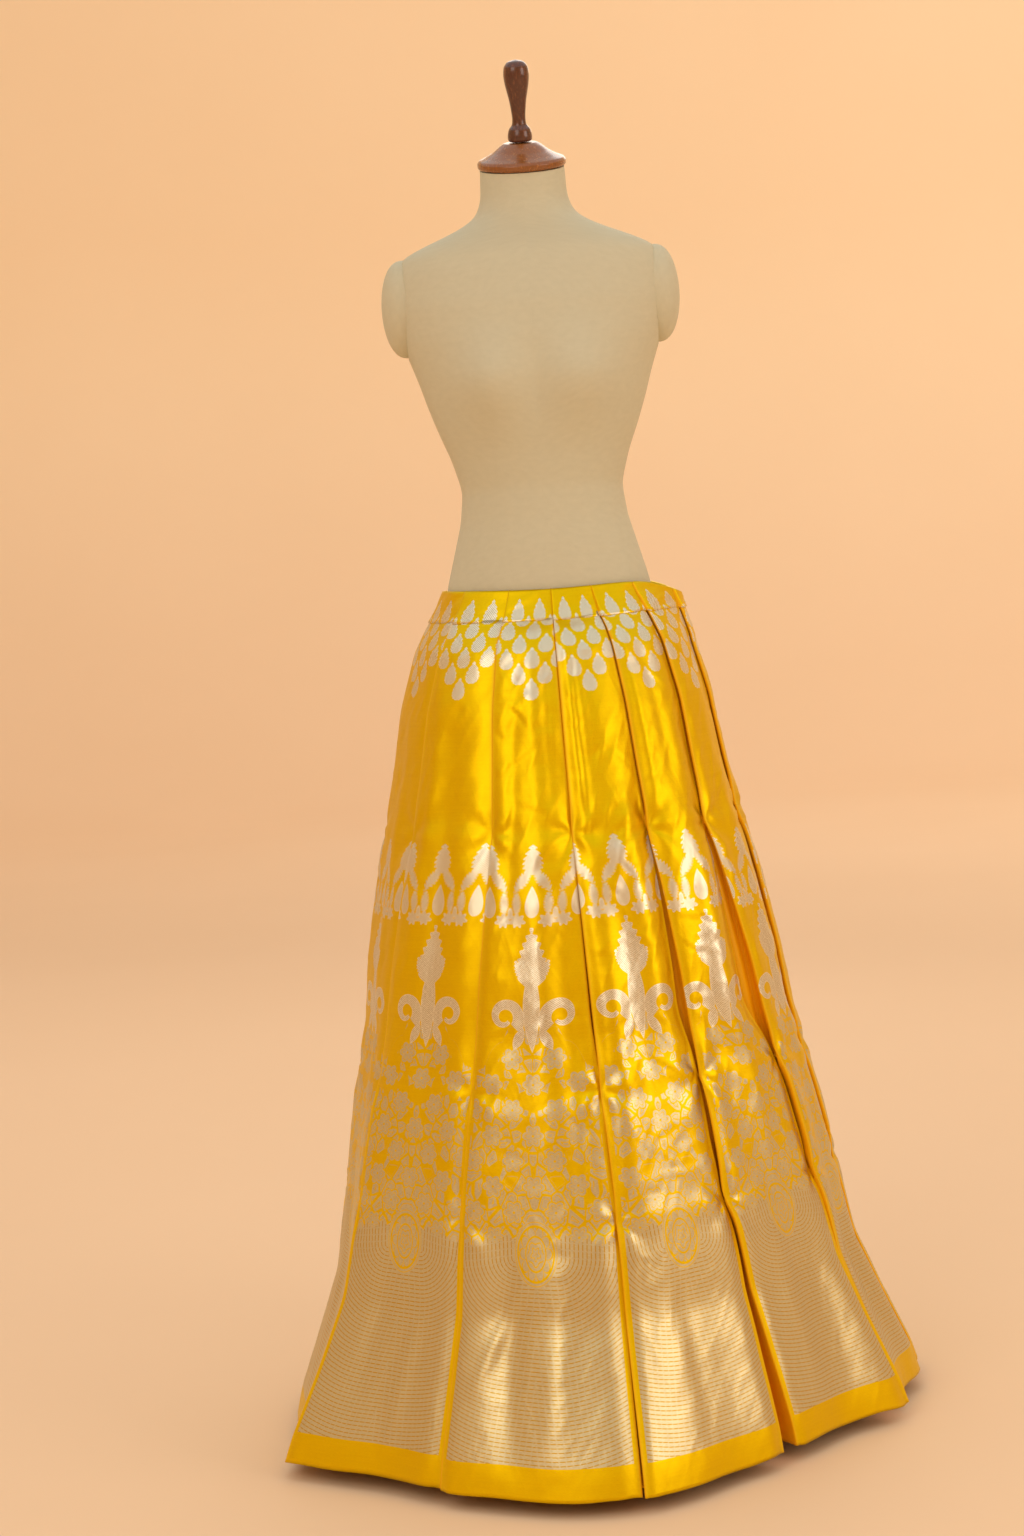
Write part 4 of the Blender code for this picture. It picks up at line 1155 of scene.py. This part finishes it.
def tuck_relief(degrees):
    """Each pleat carries on up the band as a groove with a small step: the cloth on one side stands
    higher than on the other."""
    off = half_turns(degrees[..., None] - PLEATS[:, 0])
    groove = -TUCK_DEPTH * np.exp(-(off / TUCK_HALF_DEG) ** 2)
    step = TUCK_STEP * np.tanh(off / TUCK_HALF_DEG) * np.exp(-(off / TUCK_STEP_DEG) ** 2)
    return (groove + step).sum(axis=-1)


def band_points(degrees, share):
    """Points of the band's middle line. share is 0 at its foot, which laps over the kalis' top, and 1
    at its top, close to the form."""
    top_z, foot_z = BAND_TOP_Z, SKIRT_TOP_Z - BAND_LAP
    push_top = placket_push(degrees, BAND_TOP_Z)
    top = form_radius(degrees, top_z) + BAND_CLEAR_TOP + push_top
    foot = skirt_top_radius(degrees) + BAND_OVER
    radius = foot + (top - foot) * share ** BAND_SLOPE_POWER + tuck_relief(degrees)
    z = foot_z + (top_z - foot_z) * share - waist_dip(degrees)
    z = z - PLACKET_DROP * share * push_top / PLACKET_OUT[-1]
    outwards, _ = round_unit(degrees)
    return np.concatenate([radius[..., None] * outwards, z[..., None]], axis=-1)


def band_columns():
    """Angles of the band's columns, closest at the tucks, and the angles of the tucks."""
    half_gap = math.degrees(BAND_END_GAP / 2 / BAND_RADIUS)
    ends = (BAND_OPENING_DEG - 360 + half_gap, BAND_OPENING_DEG - half_gap)
    tucks = np.where(PLEATS[:, 0] < BAND_OPENING_DEG, PLEATS[:, 0], PLEATS[:, 0] - 360)
    near = tucks[:, None] + TUCK_HALF_DEG * np.linspace(-TUCK_REACH, TUCK_REACH, TUCK_COLUMNS)
    plain = np.linspace(*ends, KALIS * BAND_PLAIN_STEPS)
    degrees = np.clip(np.sort(np.concatenate([near.ravel(), plain])), *ends)
    return degrees[np.append(True, np.diff(degrees) > COLUMN_APART_DEG)], tucks


def band_uv(degrees, share):
    """The pattern of each kali goes on up the band, measured from that kali's middle."""
    starts = np.append(PLEATS[:, 0], PLEATS[0, 0] + 360)
    turned = (degrees - starts[0]) % 360 + starts[0]
    kali = np.clip(np.searchsorted(starts, turned, side="right") - 1, 0, KALIS - 1)
    u = np.radians(turned - (starts[kali] + starts[kali + 1]) / 2) * PATTERN_RADIUS
    return np.dstack([u + 0 * share, TOP_V - BAND_LAP + share * (BAND_HEIGHT + BAND_LAP) + 0 * u])


def make_waistband():
    """The band's piece, its flat size, and the line of its lowest stitches."""
    degrees, tucks = band_columns()
    share = np.linspace(0, 1, BAND_ROWS)[:, None]
    points = band_points(degrees, share)
    along = arc_length(points)
    push_out(points, BAND_PUCKER * crumple(PUCKER_SEED, along, share * BAND_HEIGHT, PUCKER_SIZE))
    foot_lift = FOOT_PUCKER * (1 - share) * crumple(FOOT_PUCKER_SEED, along, 0 * along, FOOT_PUCKER_SIZE)
    points[..., 2] += foot_lift
    # Painted shade: close to a tuck the inset is small, which tints the band with the painted pleat shade
    # and stops the pattern.
    from_tuck = np.radians(np.abs(degrees[:, None] - tucks).min(axis=1)) * BAND_RADIUS
    most, scale, shift = TUCK_SHADE_INSET
    inset = np.minimum(most, scale * from_tuck - shift) + 0 * share
    piece = put_grid("waistband_cloth", points, band_uv(degrees, share), inset)
    cloth_wall(piece, BAND_WALL)
    finish_piece(piece, (brocade, lining), ("waistband",))
    tall = arc_length(points.swapaxes(0, 1))[:, -1].mean()
    return piece, (float(along[:, -1].mean()), float(tall)), points[1]


TOP_V = SHEETS[2][2]
waistband, band_size, band_seam = make_waistband()
print("waistband", np.round(band_size, 3), "m, pattern goes on from", round(float(TOP_V), 3))

# %% [markdown]
# ## The dress form
#
# The form is a padded body covered in linen. Its plan at each height is a squarish ellipse, with two
# bell curves for the bust. The shoulders end in flat armholes, each closed by a padded oval cap.

# %% Form torso and arm caps
CUP_Z, CUP_DEG, CUP_OUT, CUP_TALL, CUP_WIDE_DEG, CUP_SIDEWAYS = 1.320, 31.0, 0.020, 0.050, 22.0, 0.4
NECK_TILT, NECK_TILT_FROM_Z, NECK_TOP_Z = math.radians(15), 1.500, 1.590
ARMHOLE_X, ARM_CAP_Z, ARM_CAP_HALF_TALL, ARM_CAP_HALF_DEEP = 0.1575, 1.424, 0.061, 0.044
ARM_CAP_OUT, ARM_CAP_POWER, ARM_CAP_TUCK = 0.030, 2.4, 0.0035
ARM_CAP_ROWS, ARM_CAP_COLUMNS, ARM_CAP_FLAT = 18, 64, 0.995
FORM_ROWS, FORM_COLUMNS, FORM_SOFTEN, FORM_SHARP = 180, 160, 0.009, math.radians(24)


def form_points(z):
    """Rings of the form at heights z."""
    angle = whole_turn(FORM_COLUMNS)
    half, front, back = (soften(np.interp(z, FORM_Z, c), z[1] - z[0], FORM_SOFTEN)[:, None]
                         for c in (FORM_HALF, FORM_FRONT, FORM_BACK))
    depth = np.where(np.cos(angle) > 0, front, back)
    way = np.arctan2(half * np.sin(angle), depth * np.cos(angle))
    radius = squarish(np.sin(way), np.cos(way), half, depth)
    x, y = radius * np.sin(way), -radius * np.cos(way)
    cup = CUP_OUT * np.exp(-((np.abs(np.degrees(way)) - CUP_DEG) / CUP_WIDE_DEG) ** 2)
    cup = cup * np.exp(-((z[:, None] - CUP_Z) / CUP_TALL) ** 2)
    x, y = x * (1 + CUP_SIDEWAYS * cup / radius), y * (1 + cup / radius)
    cut = z[:, None] > ARM_CAP_Z - ARM_CAP_HALF_TALL
    x = np.where(cut, np.clip(x, -ARMHOLE_X, ARMHOLE_X), x)
    tilt = np.maximum(0.0, (z[:, None] - NECK_TILT_FROM_Z) / (NECK_TOP_Z - NECK_TILT_FROM_Z))
    return np.dstack([x, y, z[:, None] + tilt ** 2 * math.tan(NECK_TILT) * y])


def round_uv(points):
    """Metres round and up for a closed piece, with the first column repeated at the end."""
    closed = np.concatenate([points, points[:, :1]], axis=1)
    along, up = arc_length(closed), arc_length(closed.mean(axis=1))[:, None]
    return np.dstack([along - along[:, [closed.shape[1] // 2]], up + 0 * along])


def put_linen(name, points, node):
    """A closed piece covered in linen, with an end face at its foot and at its top."""
    piece = put_grid(name, points, round_uv(points), round_too=True, ends=(0, len(points) - 1))
    piece.data.set_sharp_from_angle(angle=FORM_SHARP)
    finish_piece(piece, (linen,), (node,))


def make_form():
    put_linen("form_torso_linen", form_points(np.linspace(FORM_Z[0], FORM_Z[-1], FORM_ROWS)), "form_torso")
    out = np.sin(np.linspace(0, math.pi / 2, ARM_CAP_ROWS))[:, None] * ARM_CAP_FLAT
    size, from_seam = np.sqrt(1 - out ** ARM_CAP_POWER), ARM_CAP_OUT * out
    from_seam[0] = -ARM_CAP_TUCK            # the linen's edge is turned in behind the armhole's edge
    for name, side in (("form_arm_cap_right", -1), ("form_arm_cap_left", 1)):
        angle = whole_turn(ARM_CAP_COLUMNS) * side
        cap = np.dstack([side * (ARMHOLE_X + SEAM_GAP + from_seam) + 0 * angle,
                         ARM_CAP_HALF_DEEP * size * np.cos(angle),
                         ARM_CAP_Z + ARM_CAP_HALF_TALL * size * np.sin(angle)])
        put_linen(name + "_linen", cap, name)


make_form()
print("form: waist", round(2 * float(np.interp(1.190, FORM_Z, FORM_HALF)), 3), "m wide")

# %% [markdown]
# ## Turned pieces
#
# The neck cap, its handle and the whole stand are bodies of revolution, as a lathe makes them. A table
# of radius and height describes each. The corners between its points are rounded by cutting each one
# off three times (Chaikin's way), which is what sandpaper does to a turned edge.

# %% Turned pieces
CAP_PROFILE = ((0.0, 0.0), (0.0525, 0.0), (0.0555, 0.003), (0.0558, 0.008), (0.0535, 0.0115),
               (0.0450, 0.0150), (0.0350, 0.0205), (0.0265, 0.0275), (0.0205, 0.0315), (0.0, 0.032))
HANDLE_PROFILE = ((0.0, 0.0), (0.0150, 0.0), (0.0155, 0.008), (0.0135, 0.016), (0.0088, 0.021),
                  (0.0082, 0.030), (0.0105, 0.050), (0.0150, 0.070), (0.0163, 0.082),
                  (0.0150, 0.092), (0.0100, 0.098), (0.0, 0.100))
POLE_PROFILE = ((0.0, 0.0603), (0.016, 0.0603), (0.016, 0.7997), (0.0, 0.7997))
COLLAR_PROFILE = ((0.0, 0.0053), (0.030, 0.0053), (0.030, 0.012), (0.022, 0.060), (0.0, 0.060))
BASE_PROFILE = ((0.0, 0.0), (0.210, 0.0), (0.210, 0.004), (0.209, 0.005), (0.0, 0.005))
NECK_AXIS_Z, HANDLE_LIFT = 1.5903, 0.0323
CORNER_PASSES, LATER_SHARE, AXIS_HOLE = 3, 0.25, 0.0002


def cut_corners(profile, share):
    """Chaikin's way: each corner is replaced by two points, a share of each side away from it. The
    first pass has a share of its own, and a small one keeps the piece close to its profile."""
    line = np.array(profile)
    for _ in range(CORNER_PASSES):
        a, b = line[:-1], line[1:]
        inner = np.stack([a + share * (b - a), b - share * (b - a)], axis=1).reshape(-1, 2)
        line = np.concatenate([line[:1], inner[1:-1], line[-1:]])
        share = LATER_SHARE
    return line


def make_turned(name, profile, share, finish, node, on_neck=False, lift=0.0, steps=96):
    """A body of revolution round the z axis, or round the neck's tilted one, lifted along it."""
    line = cut_corners(profile, share)
    line[[0, -1], 0] = AXIS_HOLE
    line[:, 1] += lift
    points = lathe(line, whole_turn(steps))
    if on_neck:
        y, z = points[..., 1].copy(), points[..., 2].copy()
        points[..., 1] = y * math.cos(NECK_TILT) - z * math.sin(NECK_TILT)
        points[..., 2] = y * math.sin(NECK_TILT) + z * math.cos(NECK_TILT) + NECK_AXIS_Z
    piece = put_grid(name, points, round_too=True, ends=(0, len(line) - 1))
    finish_piece(piece, (finish,), (node,))


make_turned("neck_cap_turned", CAP_PROFILE, 0.10, cap_wood, "form_neck_cap", on_neck=True)
make_turned("handle_turned", HANDLE_PROFILE, 0.20, handle_wood, "form_handle",
            on_neck=True, lift=HANDLE_LIFT)
make_turned("pole_turned", POLE_PROFILE, 0.002, steel, "stand_pole")
make_turned("collar_turned", COLLAR_PROFILE, 0.05, steel, "stand_collar")
make_turned("base_turned", BASE_PROFILE, 0.01, steel, "stand_base", steps=160)
print("turned pieces: cap, handle, pole, collar and base")

# %% [markdown]
# ## Sewing
#
# Three kinds of stitch show on the skirt. A running stitch closes the band's foot over the kalis. Three
# strands tack each pleat shut at three heights. Small pricks, far apart, hold the hem's turned edge.
# Each stitch is a short bent tube that rises out of the cloth in the middle and dips in at both ends.

# %% Sewing
THREAD_RADIUS, STITCH_SIDES, STITCH_STEPS = 0.00025, 6, 5
BAND_STITCH, BAND_STITCH_PITCH, PRICK, PRICK_PITCH, PRICK_Z = 0.0030, 0.0048, 0.0014, 0.0110, 0.053
TACK_COLUMN, TACK_STRAND_APART = 2, 0.0014
TACK_ARCH, STITCH_ARCH = 0.0016, 0.0003         # how far the middle of a stitch stands out
ACROSS_STITCH = np.linspace(0, 1, STITCH_STEPS)


def unit(vectors):
    """The same directions with a length of 1."""
    return vectors / np.linalg.norm(vectors, axis=-1, keepdims=True)


def outwards_of(points):
    """Level unit vectors from the skirt's axis towards points."""
    return unit(points * (1, 1, 0))


def arched(threads, lift, arch):
    """Raise threads (threads, steps, 3) off the cloth: by lift, and by arch more in the middle."""
    rise = lift + arch * np.sin(math.pi * ACROSS_STITCH)
    return threads + outwards_of(threads) * rise[:, None]


def stitches_along(line, long, pitch):
    """Stitches of one length along a line of points, as (stitches, steps, 3)."""
    along = arc_length(line)
    at = np.arange(pitch / 2, along[-1] - long, pitch)[:, None] + np.linspace(0, long, STITCH_STEPS)
    return np.stack([np.interp(at, along, line[:, i]) for i in range(3)], axis=-1)


def line_at_height(face, height):
    """The row of a kali's face that is nearest to a height."""
    return face[int(round(share_up(height) * (len(face) - 1)))]


def tacks(kali):
    """Three strands over the pleat at the kali's left edge, at each tack."""
    strands = []
    for height in TACK_Z:
        start = line_at_height(FACES[(kali - 1) % KALIS], height)[-1 - TACK_COLUMN]
        end = line_at_height(FACES[kali], height)[TACK_COLUMN]
        strand = start + ACROSS_STITCH[:, None] * (end - start)
        strands += [strand + (0, 0, number * TACK_STRAND_APART) for number in (-1, 0, 1)]
    return np.array(strands)


def put_threads(name, threads):
    """One mesh of tubes round threads (threads, steps, 3), thinner at their ends."""
    ahead = unit(np.gradient(threads, axis=1))
    side = unit(np.cross(ahead, outwards_of(threads)))
    up, turn = np.cross(side, ahead), whole_turn(STITCH_SIDES)[:, None]
    radius = THREAD_RADIUS * (0.5 + 0.5 * np.sin(math.pi * ACROSS_STITCH))[:, None, None]
    rings = threads[:, :, None] + radius * (side[:, :, None] * np.cos(turn) + up[:, :, None] * np.sin(turn))
    one = grid_faces(STITCH_STEPS, STITCH_SIDES, round_too=True, ends=(0, STITCH_STEPS - 1))
    size = STITCH_STEPS * STITCH_SIDES
    faces = [[corner + number * size for corner in face] for number in range(len(threads)) for face in one]
    made = put_mesh(name, rings, faces)
    finish_piece(made, (thread,))
    return made


kali_sewing = []
for kali, (piece, *_) in enumerate(SHEETS):
    pricks = stitches_along(line_at_height(FACES[kali], PRICK_Z), PRICK, PRICK_PITCH)
    threads = np.concatenate([arched(pricks, CLOTH / 2, STITCH_ARCH),
                              arched(tacks(kali), CLOTH / 2, TACK_ARCH)])
    kali_sewing.append(put_threads(piece.name.replace("cloth", "stitches"), threads))
band_stitches = stitches_along(band_seam, BAND_STITCH, BAND_STITCH_PITCH)
band_sewing = put_threads("waistband_stitches", arched(band_stitches, BAND_WALL / 2, STITCH_ARCH))
sewn_points = sum(len(sewing.data.vertices) for sewing in kali_sewing + [band_sewing])
print("stitches:", sewn_points // (STITCH_STEPS * STITCH_SIDES))

print("sheets declared:", len(SHEETS) + 1)

# %% [markdown]
# ## Studio
#
# The skirt stands in a round bowl of pale paper, so the floor passes into the wall without a line.
# Three large soft lights and an even glow from all round light it, and a fourth warms the wall behind.

# %% Floor, wall and lights
FLOOR_RADIUS, BOWL_BEND, WALL_TOP_Z = 9.0, 3.0, 9.0
# Painted light and shade: the same paper is coloured darker and deeper on the floor and paler on the wall,
# as the light falls on them.
FLOOR_DARK, FLOOR_PALE, WALL_DARK, WALL_PALE = (
    (0.86, 0.60, 0.37), (0.89, 0.63, 0.40), (0.95, 0.72, 0.46), (0.97, 0.75, 0.49))
LIGHT_COLOUR, GLOW_COLOUR, GLOW = (1.0, 0.98, 0.94), (1.0, 0.98, 0.96, 1.0), 0.86
SKIRT_MIDDLE = (0.0, 0.0, 0.75)
LIGHTS = (
    # name, place, what it faces, size, watts
    ("key", (-1.8, -3.5, 2.7), SKIRT_MIDDLE, 2.2, 29.5),
    ("fill", (3.5, -2.2, 1.9), SKIRT_MIDDLE, 2.0, 31.0),
    ("back", (0.5, 3.2, 3.2), SKIRT_MIDDLE, 2.0, 20.0),
    ("wall_glow", (2.6, 4.5, 5.6), (6.0, 12.0, 3.6), 4.0, 155.0),
)


def make_bowl():
    """Floor and wall as one body of revolution, turned the other way so that it faces inwards."""
    turn = np.linspace(0, math.pi / 2, 24)
    bend = np.stack([FLOOR_RADIUS + BOWL_BEND * np.sin(turn), BOWL_BEND - BOWL_BEND * np.cos(turn)], axis=1)
    line = np.concatenate([[(0.01, 0.0), (4.0, 0.0)], bend, [(FLOOR_RADIUS + BOWL_BEND, WALL_TOP_Z)]])
    points = lathe(line, math.pi / 2 - whole_turn(128))
    bowl = put_grid("paper_bowl", points, round_too=True, ends=(0,))
    made, tree, shader = new_material("paper", (0.9, 0.7, 0.5))
    x, y, z = object_metres(tree)
    tone = noise(point(x * 0.9, y * 0.9, z * 0.9), 1.0, 2.0)
    floor, wall = tone.tint(FLOOR_DARK, FLOOR_PALE), tone.tint(WALL_DARK, WALL_PALE)
    # Painted light and shade: the paper goes from the darker floor colour to the paler wall colour between
    # 1.4 m and 2.8 m up.
    fill(shader, {"Base Color": z.over(1.4, 2.8).tint(floor, wall), "Roughness": 0.9})
    bowl.data.materials.append(made)


def make_light(name, place, aim, size, power):
    """A square area light, nearly white, that faces a point."""
    data = bpy.data.lights.new(name, "AREA")
    data.shape, data.size, data.energy, data.color = "SQUARE", size, power, LIGHT_COLOUR
    light = add_object(name, data)
    towards = Vector(aim) - Vector(place)
    light.matrix_world = Matrix.Translation(place) @ towards.to_track_quat("-Z", "Y").to_matrix().to_4x4()


make_bowl()
for row in LIGHTS:
    make_light(*row)
world = bpy.data.worlds.new("studio")
world.use_nodes = True
fill(world.node_tree.nodes["Background"], {"Color": GLOW_COLOUR, "Strength": GLOW})
bpy.context.scene.world = world
bpy.context.scene.view_settings.view_transform = "Standard"     # keeps a bright yellow yellow
